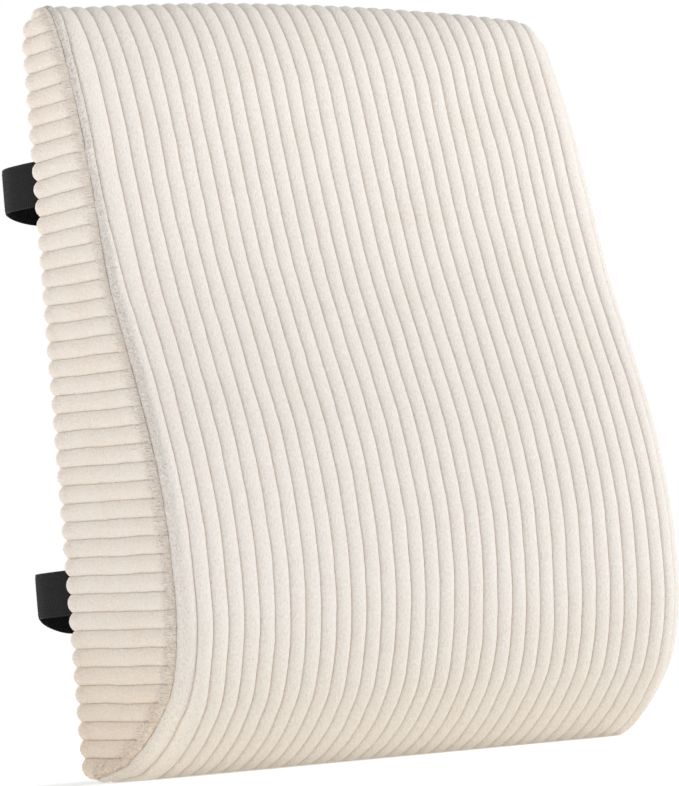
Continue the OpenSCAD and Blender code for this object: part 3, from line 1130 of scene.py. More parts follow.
@dataclass
class Stuffing:
    """How the stuffed cover swells between its seams, from a cloth simulation.

    A coarse closed copy of the form is remeshed, pinned near its seams and blown up. How far each
    of its points moved is spread over a lattice of cells, which the fine panels then read.

    Attributes:
        voxel: size of the coarse copy's faces.
        pressure: the simulation's pressure.
        frames: how long it runs.
        cap: the furthest that a point may move.
        share: how much of the movement the fine panels take.
        cell: size of the lattice's cells.
        clear: how far above the base plane every point is kept.
        low: the lattice's lowest corner.
        lattice: the movement in each cell, or None before the simulation.
    """

    shape: CushionShape
    voxel: float = 6 * MM
    pressure: float = 4.0
    frames: int = 20
    cap: float = 6 * MM
    share: float = 0.4
    cell: float = 9 * MM
    clear: float = 0.2 * MM
    low: Array = field(init=False)
    lattice: Array | None = field(init=False, default=None)

    def run(self) -> None:
        """Runs the simulation and fills the lattice."""
        scene = bpy.context.scene
        piece = self._trial()
        start = self._places(piece.data)
        self._pin(piece, start)
        self._fill(piece)
        for moment in range(1, self.frames + 1):
            scene.frame_set(moment)
        graph = bpy.context.evaluated_depsgraph_get()
        moved = self._places(piece.evaluated_get(graph).to_mesh()) - start
        size = np.linalg.norm(moved, axis=1, keepdims=True)
        moved *= np.minimum(1, self.cap / np.maximum(size, 1e-9)) * self.share
        self._spread(start, moved)
        scene.frame_set(1)
        bpy.data.objects.remove(piece, do_unlink=True)
        log.info("stuffing: %d points moved up to %.1f mm", len(start), size.max() / MM)

    def _trial(self) -> bpy.types.Object:
        """The coarse closed copy: the form 3 mm inside the cover, remeshed in even faces.

        Returns:
            The new object.
        """
        points, faces = self.shape.solid(3 * MM)
        piece = add_mesh("stuffing_trial", points, faces)
        remesh = piece.modifiers.new("even", "REMESH")
        remesh.mode = "VOXEL"
        remesh.voxel_size = self.voxel
        graph = bpy.context.evaluated_depsgraph_get()
        mesh = bpy.data.meshes.new_from_object(piece.evaluated_get(graph))
        piece.modifiers.clear()
        piece.data = mesh
        return piece

    @staticmethod
    def _places(mesh: bpy.types.Mesh) -> Array:
        """Where the mesh's vertices are.

        Args:
            mesh: the mesh.

        Returns:
            The places, one per row.
        """
        flat = np.empty(len(mesh.vertices) * 3)
        mesh.vertices.foreach_get("co", flat)
        return flat.reshape(-1, 3)

    def _pin(self, piece: bpy.types.Object, places: Array) -> None:
        """Holds the cloth at its side seams, and a little less firmly over the back.

        Args:
            piece: the coarse copy.
            places: its vertices.
        """
        near_side = smooth(16 * MM, 5 * MM, self.shape.width / 2 - np.abs(places[:, 0]))
        distance = self.shape.beside(places[:, 1:])[0]
        seam = near_side * smooth(16 * MM, 5 * MM, distance)
        at_back = smooth(8 * MM, 3 * MM, self.shape.back - places[:, 1])
        weight = np.round(np.clip(seam + 0.8 * at_back, 0, 1), 1)
        pins = piece.vertex_groups.new(name="pins")
        for level in np.unique(weight):
            chosen = np.flatnonzero(weight == level)
            pins.add(chosen.tolist(), float(level), "REPLACE")

    def _fill(self, piece: bpy.types.Object) -> None:
        """Makes the coarse copy a cloth with air in it, without gravity.

        Args:
            piece: the coarse copy.
        """
        cloth = piece.modifiers.new("cloth", "CLOTH")
        cloth.settings.use_pressure = True
        cloth.settings.uniform_pressure_force = self.pressure
        cloth.settings.vertex_group_mass = "pins"
        cloth.settings.effector_weights.gravity = 0
        cloth.settings.quality = 5
        cloth.settings.tension_stiffness = 25
        cloth.settings.compression_stiffness = 25
        cloth.settings.bending_stiffness = 2
        cloth.point_cache.frame_end = self.frames

    def _spread(self, places: Array, moved: Array) -> None:
        """Averages the movements in each cell, then blurs them out to the empty cells round them.

        Args:
            places: where the coarse copy's points started.
            moved: how far each one moved.
        """
        self.low = places.min(axis=0) - 4 * self.cell
        counts = np.ceil((places.max(axis=0) - self.low) / self.cell).astype(int) + 5
        at = tuple(((places - self.low) / self.cell).round().astype(int).T)
        total, weight = np.zeros((*counts, 3)), np.zeros((*counts, 1))
        np.add.at(total, at, moved)
        np.add.at(weight, at, 1)
        for _ in range(3):
            for axis in range(3):
                total = 0.5 * total + 0.25 * (np.roll(total, 1, axis) + np.roll(total, -1, axis))
                weight = 0.5 * weight + 0.25 * (np.roll(weight, 1, axis) + np.roll(weight, -1, axis))
        self.lattice = total / np.maximum(weight, 1e-6)

    def settled(self, points: Array) -> Array:
        """Moves points by the lattice, blended between the eight cells round each.

        Args:
            points: places on the form.

        Returns:
            The moved places.
        """
        if self.lattice is None:
            return self._on_floor(points)
        at = (points - self.low) / self.cell
        cell = np.clip(np.floor(at).astype(int), 0, np.array(self.lattice.shape[:3]) - 2)
        t = np.clip(at - cell, 0, 1)
        moved = np.zeros_like(points)
        for corner in np.ndindex(2, 2, 2):
            weight = np.prod(np.where(np.array(corner) == 1, t, 1 - t), axis=-1)
            i, j, k = np.moveaxis(cell + corner, -1, 0)
            moved += weight[..., None] * self.lattice[i, j, k]
        return self._on_floor(points + moved)

    def _on_floor(self, points: Array) -> Array:
        """Keeps every point clear of the plane that the cushion stands on."""
        points[..., 2] = np.maximum(points[..., 2], self.shape.base + self.clear)
        return points


# ------------------------------------------------------------------ the cover

@dataclass
class Cover:
    """The corduroy cover: one long front panel, a gusset at each side and the black back.

    Attributes:
        pitch: width of a wale on the front panel.
        relief: height of a wale on the front panel.
        proud: how far the front panel stands off the form, away from its ends.
        side_pitch: width of a wale on the sides.
        first_valley: height of the sides' lowest valley above the base.
        side_relief: height of a wale on the sides.
        side_proud: how far the sides stand off the form.
        side_slope: how steeply the sides' lower wales sink towards the front.
        lobe: how much further the sides' wales stand out at the back edge.
        lobe_relief: how much higher they are there.
        seam_dip: how far the seam lies under the form.
        seam_reach: how wide the dip beside a seam is.
        tuck: how far a side panel runs under the front panel.
        thickness: thickness of the cloth.
        stations: rows of vertices down the front panel.
        wale_steps: vertices across a wale of the front panel.
        side_steps: vertices across a wale of the sides.
        side_columns: vertices from the back to the front of a side.
        overhang: how far a back panel reaches past its solid at each side.
    """

    shape: CushionShape
    stuffing: Stuffing
    finishes: Finishes
    pitch: float = 10.238 * MM
    relief: float = 2.5 * MM
    proud: float = 0.9 * MM
    side_pitch: float = 9.97 * MM
    first_valley: float = 15 * MM
    side_relief: float = 2.5 * MM
    side_proud: float = 0.3 * MM
    side_slope: float = 0.05
    lobe: float = 1.8 * MM
    lobe_relief: float = 1.6 * MM
    seam_dip: float = 0.7 * MM
    seam_reach: float = 1.1 * MM
    tuck: float = 1.2 * MM
    thickness: float = 1.2 * MM
    stations: int = 230
    wale_steps: int = 10
    side_steps: int = 8
    side_columns: int = 76
    overhang: float = 2.8 * MM

    CRINKLE = (Waver(0.4 * MM, 14 * MM, 11), Waver(0.45 * MM, 5 * MM, 12))
    WALE_WAVER = (Waver(0.45 * MM, 26 * MM, 21), Waver(0.25 * MM, 9 * MM, 22))
    PLUMP = Waver(0.08, 40 * MM, 31)
    PILE = Waver(0.10 * MM, 2.2 * MM, 32)
    CRUSHED_PILE = Waver(0.55 * MM, 2.4 * MM, 33)
    SIDE_PLUMP = Waver(0.07, 35 * MM, 51)
    SIDE_PILE = Waver(0.10 * MM, 2.2 * MM, 52)
    SIDE_CRUSHED_PILE = Waver(0.6 * MM, 2.3 * MM, 53)
    BACK_WAVER = Waver(0.25 * MM, 45 * MM, 61)

    def build(self) -> None:
        """Builds the five panels."""
        self._front()
        for side in Side:
            self._gusset(side)
        self._back("cover_back", "back_panel", 3 * MM)
        self._back("cover_back_lower", "back_lower_panel", 0.6 * MM)

    def _thicken(self, piece: bpy.types.Object) -> None:
        """Gives a panel its thickness, inwards."""
        solidify = piece.modifiers.new("thickness", "SOLIDIFY")
        solidify.thickness, solidify.offset = self.thickness, -1

    def _seam(self, to_seam: Array) -> Array:
        """How much a point belongs to a seam: exp(-(distance / seam_reach)^2)."""
        return np.exp(-((to_seam / self.seam_reach) ** 2))

    def _front(self) -> None:
        """The front panel: wales run down it, (1 - |u|^2.1)^0.68 high across each one."""
        here, normal, length = self.shape.rows(self.stations)
        left, right = (self._reach(here, length, side) for side in Side)
        bounds = self._valleys(here, length, left, right)
        across = cosine_steps(bounds, self.wale_steps)
        wale = rib_profile(self.wale_steps, bounds.shape[1] - 1)
        to_seam = np.minimum(left[:, None] + across, right[:, None] - across)
        uv = paired(across, length[:, None])
        lift, crush = self._front_relief(here, uv, wale, to_seam)
        points = self.shape.lay(here, normal, across, lift)
        points = self.stuffing.settled(self.shape.crowned(points))
        # The wale's height, which the material paints as shade in the valleys.
        pile = np.broadcast_to(wale[None], across.shape)
        faces = quads(*across.shape, turn=True)
        piece = add_mesh("cover_front", points, faces, uv, {"pile": pile, "crush": crush})
        self._thicken(piece)
        finish_piece(piece, self.finishes.corduroy, "cushion", ["front_panel"])

    def _reach(self, here: Array, length: Array, side: Side) -> Array:
        """Length of cloth from the middle to a side seam: w/2 - r + r a, with a slight crinkle.

        Args:
            here: the outline's row at each station.
            length: length down the panel at each station.
            side: which seam.

        Returns:
            The length at each station.
        """
        crinkle = sum(waver.at(length[:, None]) for waver in self.CRINKLE)
        radius, angle = here[:, side.radius_column], here[:, side.angle_column]
        return self.shape.width / 2 - radius + radius * angle + crinkle

    def _valleys(self, here: Array, length: Array, left: Array, right: Array) -> Array:
        """Where the front panel's wales begin and end, across the cloth.

        Inner valleys keep an even pitch. The outermost one at each side wanders outwards by 3 mm
        over the upper half and by 2.5 mm at the foot, and its wale reaches to the seam.

        Args:
            here: the outline's row at each station.
            length: length down the panel at each station.
            left: length of cloth to the left seam.
            right: length of cloth to the right seam.

        Returns:
            The places, station x valley, with the seams as the first and the last.
        """
        z = here[:, 1] - self.shape.base
        count = 2 * int((self.shape.width / 2) / self.pitch) + 1
        inner = (np.arange(1, count) - count / 2) * self.pitch
        valleys = np.repeat(inner[None], len(here), axis=0)
        upper_half = smooth(210 * MM, 330 * MM, z) * smooth(430 * MM, 395 * MM, z)
        foot = smooth(60 * MM, 15 * MM, z)
        wander = 3.0 * MM * upper_half + 2.5 * MM * foot
        valleys[:, 0] -= wander
        valleys[:, -1] += wander
        spots = paired(valleys, length[:, None])
        valleys = valleys + sum(waver.at(spots) for waver in self.WALE_WAVER)
        valleys = np.clip(valleys, -left[:, None] + 3 * MM, right[:, None] - 1 * MM)
        return np.column_stack([-left, valleys, right])

    def _front_relief(self, here: Array, spots: Array, wale: Array,
                      to_seam: Array) -> tuple[Array, Array]:
        """How far the front panel's pile stands off the form.

        Args:
            here: the outline's row at each station.
            spots: place on the cloth, station x column x 2.
            wale: height on the wale for each column, from 0 to 1.
            to_seam: length of cloth to the nearer seam.

        Returns:
            The height above the form, and how crushed the pile is, from 0 to 1.
        """
        z = here[:, 1] - self.shape.base
        plump = 1 + self.PLUMP.at(spots)
        strength = 0.35 + 0.65 * smooth(60 * MM, 200 * MM, z)
        crush = smooth(9 * MM, 4 * MM, to_seam) * strength[:, None]
        rough = self.PILE.at(spots) + crush * self.CRUSHED_PILE.at(spots)
        off_ends = smooth(8 * MM, 40 * MM, z) * smooth(12 * MM, 40 * MM, self.shape.back - here[:, 0])
        lift = self.proud * off_ends[:, None] + self.relief * (plump * wale[None] - 1) + rough * wale[None]
        seam = self._seam(to_seam)
        return lift * (1 - seam) - self.seam_dip * seam, crush

    def _gusset(self, side: Side) -> None:
        """A side panel: wales run from back to front, and sink a little towards the lower front.

        A point at distance d inside the outline has turned by arccos(1 - d / r) round the corner
        of radius r, and lies on the flat of the side when d is over r.

        Args:
            side: which side.
        """
        rows, wale, y = self._side_grid(side)
        z = self._side_heights(rows, y, side)
        places = np.stack([y, z + self.shape.base], axis=-1)
        distance, radius, angle, out = self.shape.beside(places, side)
        turn = np.arccos(np.clip(1 - distance / radius, 0, 1))
        to_front = (turn - angle) * radius + np.clip(distance - radius, 0, None)
        at_front = self._at_front(y, out)
        fade = 1 - 0.85 * smooth(7 * MM, 2.5 * MM, to_front) * at_front
        crush = smooth(10 * MM, 4 * MM, to_front) * at_front
        crush = crush * (0.45 + 0.55 * smooth(230 * MM, 150 * MM, z))
        spots = paired(y, rows[:, None])
        lift = self._side_relief(spots, wale, fade, crush)
        seam = self._seam(to_front) * at_front
        under = 0.9 * MM * smooth(0.4 * MM, -0.8 * MM, to_front) * at_front
        lift = lift * (1 - seam) - self.seam_dip * seam - under
        x = side.value * (self.shape.width / 2 - radius + (radius + lift) * np.sin(turn))
        moved = places + out * (lift * np.cos(turn))[..., None]
        points = np.concatenate([x[..., None], moved], axis=-1)
        points = self.stuffing.settled(self.shape.crowned(points))
        # The wale's height, which the material paints as shade in the valleys; beside the front seam, where
        # the wales fade, it moves towards 0.4.
        pile = np.broadcast_to(wale[:, None], y.shape) * fade + (1 - fade) * 0.4
        name = side.name.lower()
        faces = quads(*y.shape, turn=side is Side.LEFT)
        uv = paired(rows[:, None], y)
        piece = add_mesh(f"cover_side_{name}", points, faces, uv, {"pile": pile, "crush": crush})
        self._thicken(piece)
        # The side panels take the corduroy that is painted darker, as shade.
        finish_piece(piece, self.finishes.gusset, "cushion", [f"side_panel_{name}"])

    def _seam_line(self, side: Side) -> Array:
        """The closed line that a side panel ends on.

        It lies r (1 - cos a) inside the outline. There a is the seam's angle, less the tuck, so
        that the side runs on under the front panel.

        Args:
            side: which side.

        Returns:
            (Y, Z) for each row of the outline.
        """
        radius = self.shape.loop[:, side.radius_column]
        angle = self.shape.loop[:, side.angle_column]
        inset = radius * (1 - np.cos(np.clip(angle - self.tuck / radius, 0, None)))
        return self.shape.loop[:, :2] - self.shape.normal * inset[:, None]

    def _slope(self, z: Array) -> Array:
        """How steeply the sides' wales sink towards the front at height z: none high up."""
        return self.side_slope * smooth(330 * MM, 230 * MM, z)

    def _side_grid(self, side: Side) -> tuple[Array, Array, Array]:
        """The rows of a side panel, each one from the back seam to the front seam.

        A row is a line of even level, z + slope (back - y). The rows crowd at the valleys, and
        each one's points crowd at the seams.

        Args:
            side: which side.

        Returns:
            Each row's level, its height on its wale from 0 to 1, and Y as row x column.
        """
        line = self._seam_line(side)
        z = line[:, 1] - self.shape.base
        level = z + self._slope(z) * (self.shape.back - line[:, 0])
        panel = len(self.shape.panel)
        top = int(level[:panel].argmax())
        bottom = int(level[panel // 2:panel].argmin()) + panel // 2
        front = np.arange(top, bottom + 1)[::-1]
        back = np.r_[np.arange(bottom, len(level)), np.arange(0, top + 1)]
        low, high = level[bottom] + 0.15 * MM, level[top] - 0.15 * MM
        count = int((level[top] - self.first_valley) / self.side_pitch) + 1
        valleys = self.first_valley + self.side_pitch * np.arange(count)
        bounds = np.concatenate([[low], valleys[valleys < high - 4 * MM], [high]])
        rows = cosine_steps(bounds, self.side_steps)
        wale = rib_profile(self.side_steps, len(bounds) - 1)
        y_front = self._crossing(rows, level[front], line[front, 0])
        y_back = self._crossing(rows, level[back], line[back, 0])
        share = crowded(self.side_columns)
        return rows, wale, y_back[:, None] + (y_front - y_back)[:, None] * share[None]

    @staticmethod
    def _crossing(rows: Array, level: Array, y: Array) -> Array:
        """Y for each row, where it crosses a seam that is given as level and Y of its points."""
        order = np.argsort(level, kind="stable")
        return np.interp(rows, level[order], y[order])

    def _side_heights(self, rows: Array, y: Array, side: Side) -> Array:
        """Height above the base of each point of a side panel.

        The level wavers between the seams, as sin(pi t)^0.5, but not at the top and the bottom.
        The height z = level - slope(z) (back - y) is found in three rounds.

        Args:
            rows: each row's level.
            y: Y as row x column.
            side: which side.

        Returns:
            The height, row x column.
        """
        spots = paired(y, rows[:, None])
        slow = Waver(0.45 * MM, 24 * MM, 41 + side.value)
        quick = Waver(0.2 * MM, 8 * MM, 44 + side.value)
        between = np.sin(np.pi * crowded(self.side_columns))[None] ** 0.5
        edge = np.minimum(rows - rows[0], rows[-1] - rows)[:, None]
        waver = (slow.at(spots) + quick.at(spots)) * between * smooth(0, 12 * MM, edge)
        level = rows[:, None] + waver
        z = level
        for _ in range(3):
            z = level - self._slope(z) * (self.shape.back - y)
        return z

    def _at_front(self, y: Array, out: Array) -> Array:
        """How much a side panel's points are nearest to the front panel, and not to the back.

        Args:
            y: Y of the points.
            out: the outline's outward normal beside them.

        Returns:
            From 0 to 1 for each point.
        """
        forward = smooth(-0.2, -0.6, out[..., 0])
        downward = smooth(-0.5, -0.8, out[..., 1]) * (out[..., 0] < 0.3)
        return np.where(self.shape.back - y < 3 * MM, 0, np.clip(forward + downward, 0, 1))

    def _side_relief(self, spots: Array, wale: Array, fade: Array, crush: Array) -> Array:
        """How far a side panel's pile stands off the form.

        Args:
            spots: (Y, level) of the points.
            wale: height on the wale for each row, from 0 to 1.
            fade: how much is left of the wales beside the front seam.
            crush: how crushed the pile is.

        Returns:
            The height above the form.
        """
        at_back = smooth(8 * MM, 3 * MM, self.shape.back - spots[..., 0])
        relief = (self.side_relief + self.lobe_relief * at_back) * fade * (1 + self.SIDE_PLUMP.at(spots))
        rough = self.SIDE_PILE.at(spots) + crush * self.SIDE_CRUSHED_PILE.at(spots)
        proud = self.side_proud + self.lobe * at_back
        return proud + relief * (wale[:, None] - 1) + rough * wale[:, None]

    def _back(self, name: str, node: str, swell: float) -> None:
        """A black back panel: nearly flat, tucked under its neighbours at the sides.

        It stands 0.3 mm plus 0.4 swell (1 - u^4)(1 - v^4) over its solid, less up to 1.8 mm along
        the last 6 mm at each side, with a slow waver.

        Args:
            name: the piece's name.
            node: the node that it stands for.
            swell: how far its middle stands out.
        """
        low, high = box_of(node)
        x = np.linspace(low[0] - self.overhang, high[0] + self.overhang, 142)
        z = np.linspace(low[2], high[2], max(12, int((high[2] - low[2]) / (3 * MM))))
        grid_x, grid_z = np.meshgrid(x, z)
        u = 2 * (grid_x - low[0]) / (high[0] - low[0]) - 1
        v = 2 * (grid_z - low[2]) / (high[2] - low[2]) - 1
        edge = np.minimum(grid_x - low[0], high[0] - grid_x)
        y = high[1] + 0.3 * MM - 1.8 * MM * smooth(6 * MM, 0, edge)
        y = y + swell * 0.4 * np.clip(1 - u**4, 0, None) * (1 - v**4)
        spots = np.stack([grid_x, grid_z], axis=-1)
        y = y + self.BACK_WAVER.at(spots)
        points = self.stuffing.settled(self.shape.crowned(np.stack([grid_x, y, grid_z], axis=-1)))
        piece = add_mesh(name, points, quads(*y.shape, turn=True), spots)
        self._thicken(piece)
        finish_piece(piece, self.finishes.back, "cushion", [node])


@dataclass
class Filling:
    """The foam core and the knitted sleeve round it, inside the cover.

    Attributes:
        foam_inset: how far inside the form the foam's surface lies.
        sleeve_inset: how far inside it the sleeve lies.
    """

    shape: CushionShape
    finishes: Finishes
    foam_inset: float = 5.2 * MM
    sleeve_inset: float = 4.2 * MM

    def build(self) -> None:
        """Builds the two pieces, one round the other."""
        self._layer("foam_block", "foam_core", self.foam_inset, self.finishes.foam)
        self._layer("foam_sleeve", "foam_liner", self.sleeve_inset, self.finishes.liner)

    def _layer(self, name: str, node: str, inset: float, material: bpy.types.Material) -> None:
        """A closed copy of the cushion's form.

        Args:
            name: the piece's name.
            node: the node that it stands for.
            inset: how far inside the form it lies.
            material: its material.
        """
        points, faces = self.shape.solid(inset)
        piece = add_mesh(name, points, faces, points[:, [0, 2]])
        finish_piece(piece, material, "cushion", [node])


# ------------------------------------------------------------------ the zip

@dataclass
class Zip:
    """The zip across the lower back: tapes, coils, end stops, slider and pull.

    Attributes:
        coil_pitch: length of one turn of a coil.
        wire: radius of the coil's wire.
        ridge_pitch: width of a woven ridge of the tapes.
        stitch: length of a stitch in the seams beside the tapes.
        seam_in: how far a seam lies from the tape's edge.
    """

    finishes: Finishes
    coil_pitch: float = 1.4 * MM
    wire: float = 0.34 * MM
    ridge_pitch: float = 2.3 * MM
    stitch: float = 2.6 * MM
    seam_in: float = 1.6 * MM

    def build(self) -> None:
        """Builds each piece."""
        for part in ("upper", "lower"):
            self._tape(part)
            self._coil(part)
        self._stops()
        self._seams()
        slider = softened("zip_slider", "zip_slider_body", 0.22 * MM)
        finish_piece(slider, self.finishes.metal, "zip_slider", ["zip_slider"])
        pull = softened("zip_pull_tab", "zip_pull", 0.2 * MM)
        finish_piece(pull, self.finishes.metal, "zip_pull", ["zip_pull_tab"])

    def _tape(self, part: str) -> None:
        """A tape: a thin superellipse section carried along X, with woven ridges along it.

        Args:
            part: "upper" or "lower".
        """
        low, high = box_of(f"zip_tape_{part}")
        x = np.linspace(low[0], high[0], 90)
        middle = (low + high) / 2
        section = superellipse((high[2] - low[2]) / 2, (high[1] - low[1]) / 2, 10, 96)
        ridge = 0.12 * MM * np.cos(section[:, 0] * 2 * np.pi / self.ridge_pitch)
        off_edges = np.abs(section[:, 0]) < 0.42 * (high[2] - low[2])
        section[:, 1] += np.sign(section[:, 1]) * ridge * off_edges
        rings = np.empty((len(x), len(section), 3))
        rings[..., 0] = x[:, None]
        rings[..., 1] = middle[1] + section[None, :, 1]
        rings[..., 2] = middle[2] + section[None, :, 0]
        points, faces = capped(rings, turn=True)
        piece = add_mesh(f"zip_tape_{part}_cloth", points, faces, points[:, [0, 2]])
        finish_piece(piece, self.finishes.tape, "cushion", [f"zip_tape_{part}"])

    def _coil(self, part: str) -> None:
        """A coil: a wire on a squared helix, (x, y, z) = (pitch t, b S(2 pi t), c C(2 pi t)).

        S and C are the sine and the cosine, each raised to the power 0.7 with its sign kept.

        Args:
            part: "upper" or "lower".
        """
        low, high = box_of(f"zip_teeth_{part}")
        turns = int((high[0] - low[0]) / self.coil_pitch)
        t = np.linspace(0, turns, turns * 12 + 1)
        middle, half = (low + high) / 2, (high - low) / 2 - self.wire
        c, s = np.cos(2 * np.pi * t), np.sin(2 * np.pi * t)
        c, s = np.sign(c) * np.abs(c) ** 0.7, np.sign(s) * np.abs(s) ** 0.7
        x = low[0] + self.wire + (high[0] - low[0] - 2 * self.wire) * t / turns
        path = np.column_stack([x, middle[1] + half[1] * s, middle[2] + half[2] * c])
        turn = np.arange(5) * 2 * np.pi / 5
        section = self.wire * np.column_stack([np.cos(turn), np.sin(turn)])
        points, faces = capped(swept(path, section, np.array([1.0, 0.0, 0.0])))
        piece = add_mesh(f"zip_coil_{part}", points, faces)
        finish_piece(piece, self.finishes.teeth, "cushion", [f"zip_teeth_{part}"])

    def _stops(self) -> None:
        """The end stops: a softened block clamped over both coils at each end."""
        low, high = box_of("zip_end_stops")
        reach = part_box("zip_teeth_upper")[0][0] - low[0]
        left = rounded_block(low, (low[0] + reach, high[1], high[2]), 5)
        right = rounded_block((high[0] - reach, low[1], low[2]), high, 5)
        piece = add_mesh("zip_stops", *joined([left, right]))
        finish_piece(piece, self.finishes.metal, "cushion", ["zip_end_stops"])

    def _seams(self) -> None:
        """A row of stitches along the edge of each tape, through the panel beside it."""
        rows = []
        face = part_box("back_panel")[1][1] + 0.45 * MM
        for part, edge, step in (("upper", 1, 1), ("lower", 0, -1)):
            low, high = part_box(f"zip_tape_{part}")
            z = (low, high)[edge][2] + step * self.seam_in
            x = np.arange(low[0] + 8 * MM, high[0] - 8 * MM, self.stitch * 1.35)
            starts = np.column_stack([x, np.full(len(x), face), np.full(len(x), z)])
            rows.append(capsules(starts, starts + [self.stitch, 0, 0], 0.32 * MM, 0.6))
        points, faces = joined(rows)
        piece = add_mesh("zip_seam_stitches", points, faces, points[:, [0, 2]])
        finish_piece(piece, self.finishes.thread, "cushion")


# ------------------------------------------------------------------ straps and buckles

@dataclass
class StrapSet:
    """One strap: the short webbing with the socket, and the long webbing with plug and keeper.

    The routes are those of the model: out of a side seam, round a bow behind the cushion, and
    straight across to the buckle, round its bar and back.

    Attributes:
        strap: which strap.
        droop: how far the strap rises again towards its seams.
        half_width: half the webbing's width.
        half_thick: half its thickness.
        rib: length of one rib along the webbing.
        rib_height: height of the ribs.
        keeper_wall: thickness of the keeper's elastic.
        keeper_rib: width of one rib of the keeper.
        grip_pitch: distance between the buckle's grip bars.
        seam_x: X of the side seam, to the right of the middle.
        back: Y of the back plane.
        middle: Z of the strap's middle line at the buckle.
        buckle_y: Y of the buckle's middle.
        run_y: Y of the webbing's straight run.
    """

    strap: Strap
    droop: float
    finishes: Finishes
    half_width: float = 12.5 * MM
    half_thick: float = 0.72 * MM
    rib: float = 1.7 * MM
    rib_height: float = 0.4 * MM
    keeper_wall: float = 1.2 * MM
    keeper_rib: float = 1.3 * MM
    grip_pitch: float = 2.1 * MM
    seam_x: float = field(init=False)
    back: float = field(init=False)
    middle: float = field(init=False)
    buckle_y: float = field(init=False)
    run_y: float = field(init=False)

    # The bow's points: outwards from the seam, and behind the back plane, in mm.
    BOW = ((0, 0), (0, 2), (2, 14), (2.5, 28), (-2, 39.5), (-12.5, 47), (-30, 48), (-60, 48))
    # How far inside the seam the bow ends, and how far behind the back plane the webbing runs on.
    BOW_END = 30 * MM
    STANDOFF = 48 * MM
    # X of the bar that each half of the buckle takes the webbing round.
    SOCKET_BAR = -62 * MM
    PLUG_BAR = -11 * MM
    # From one layer of webbing to the next, and the length that is sewn back on itself.
    LAYER = 1.7 * MM
    LAP = 24 * MM
    # Where the long webbing's tail ends, and how much of it is folded over.
    TAIL_END = 80 * MM
    HEM = 11 * MM

    def __post_init__(self) -> None:
        """Reads the places from the frame."""
        low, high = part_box("side_panel_right")
        self.seam_x = (low[0] + high[0]) / 2
        self.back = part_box("back_panel")[1][1]
        low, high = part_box(f"{self.strap.value}_socket")
        self.middle = (low[2] + high[2]) / 2
        self.buckle_y = (low[1] + high[1]) / 2
        self.run_y = self.back + self.STANDOFF

    def build(self) -> None:
        """Builds the webbing, the buckle's halves, the keeper and the stitching."""
        prefix, f = self.strap.value, self.finishes
        short = self._webbing(f"{prefix}_short_webbing", self._short_route())
        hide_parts(f"{prefix}_strap_short")
        short.data.materials.append(f.webbing)
        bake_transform(short)
        log.info("%s: %d faces between cushion and socket", short.name, len(short.data.polygons))
        long = self._webbing(f"{prefix}_long_webbing", self._long_route())
        finish_piece(long, f.webbing, "cushion", [f"{prefix}_strap_long"])
        socket = softened(f"{prefix}_socket", f"{prefix}_socket_shell", 0.5 * MM, 3)
        finish_piece(socket, f.plastic, f"{prefix}_socket", [f"{prefix}_socket"])
        plug = softened(f"{prefix}_plug", f"{prefix}_plug_body", 0.4 * MM, 3)
        finish_piece(plug, f.plastic, "cushion", [f"{prefix}_plug"])
        self._keeper()
        self._grips()
        self._stitches()

    def _bow(self, side: Side) -> Array:
        """The route from a seam out behind the cushion.

        Args:
            side: which seam.

        Returns:
            The points, as (X, Y).
        """
        points = np.array(self.BOW) * MM
        x = side.value * (self.seam_x + points[:, 0])
        curve = catmull_rom(np.column_stack([x, self.back + points[:, 1]]), 10)
        return np.vstack([[side.value * self.seam_x, self.back], curve])

    def _short_route(self) -> Array:
        """From the left seam to the socket's bar, round it and back onto itself.

        Returns:
            The points, as (X, Y).
        """
        bar, wrap = self.SOCKET_BAR, 2.7 * MM
        to_bar = catmull_rom(np.array([
            (bar - self.LAP, self.run_y), (bar - 9 * MM, self.run_y),
            (bar - 3.5 * MM, self.run_y + 0.2 * MM), (bar, self.buckle_y - wrap),
            (bar + 2 * MM, self.buckle_y - wrap)]), 8)
        round_bar = arc((bar, self.buckle_y), wrap, -70, 110, 24)
        lap_y = self.run_y + self.LAYER
        back = catmull_rom(np.array([
            (bar, self.buckle_y + wrap), (bar - 3.5 * MM, self.buckle_y + 0.8 * MM),
            (bar - 7 * MM, lap_y + 0.15 * MM), (bar - 10 * MM, lap_y), (bar - self.LAP, lap_y),
            (bar - 2 * self.LAP, lap_y)]), 8)
        return np.vstack([self._bow(Side.LEFT), to_bar, round_bar, back])

    def _long_route(self) -> Array:
        """From the right seam to the plug's ladder, round its bar and back to a folded hem.

        Returns:
            The points, as (X, Y).
        """
        bar, wrap = self.PLUG_BAR, 2.5 * MM
        to_bar = catmull_rom(np.array([
            (bar + 40 * MM, self.run_y), (bar + 8 * MM, self.run_y), (bar + 2.5 * MM, self.run_y + 0.25 * MM),
            (bar, self.buckle_y - wrap - 0.1 * MM), (bar - 1.5 * MM, self.buckle_y - wrap)]), 8)
        round_bar = arc((bar, self.buckle_y), wrap, -115, -345, 28)
        tail_y = self.run_y + self.LAYER
        tail = catmull_rom(np.array([
            (bar + 2 * MM, self.buckle_y + 2 * MM), (bar + 3.3 * MM, self.buckle_y - 0.5 * MM),
            (bar + 5.5 * MM, tail_y + 0.25 * MM), (bar + 9 * MM, tail_y), (bar + 16 * MM, tail_y),
            (bar + 30 * MM, tail_y)]), 8)
        fold = arc((self.TAIL_END, tail_y + self.LAYER / 2), self.LAYER / 2, -90, 90, 12)
        end = np.array([[self.TAIL_END - self.HEM, tail_y + self.LAYER]])
        return np.vstack([self._bow(Side.RIGHT), to_bar, round_bar, tail, fold, end])

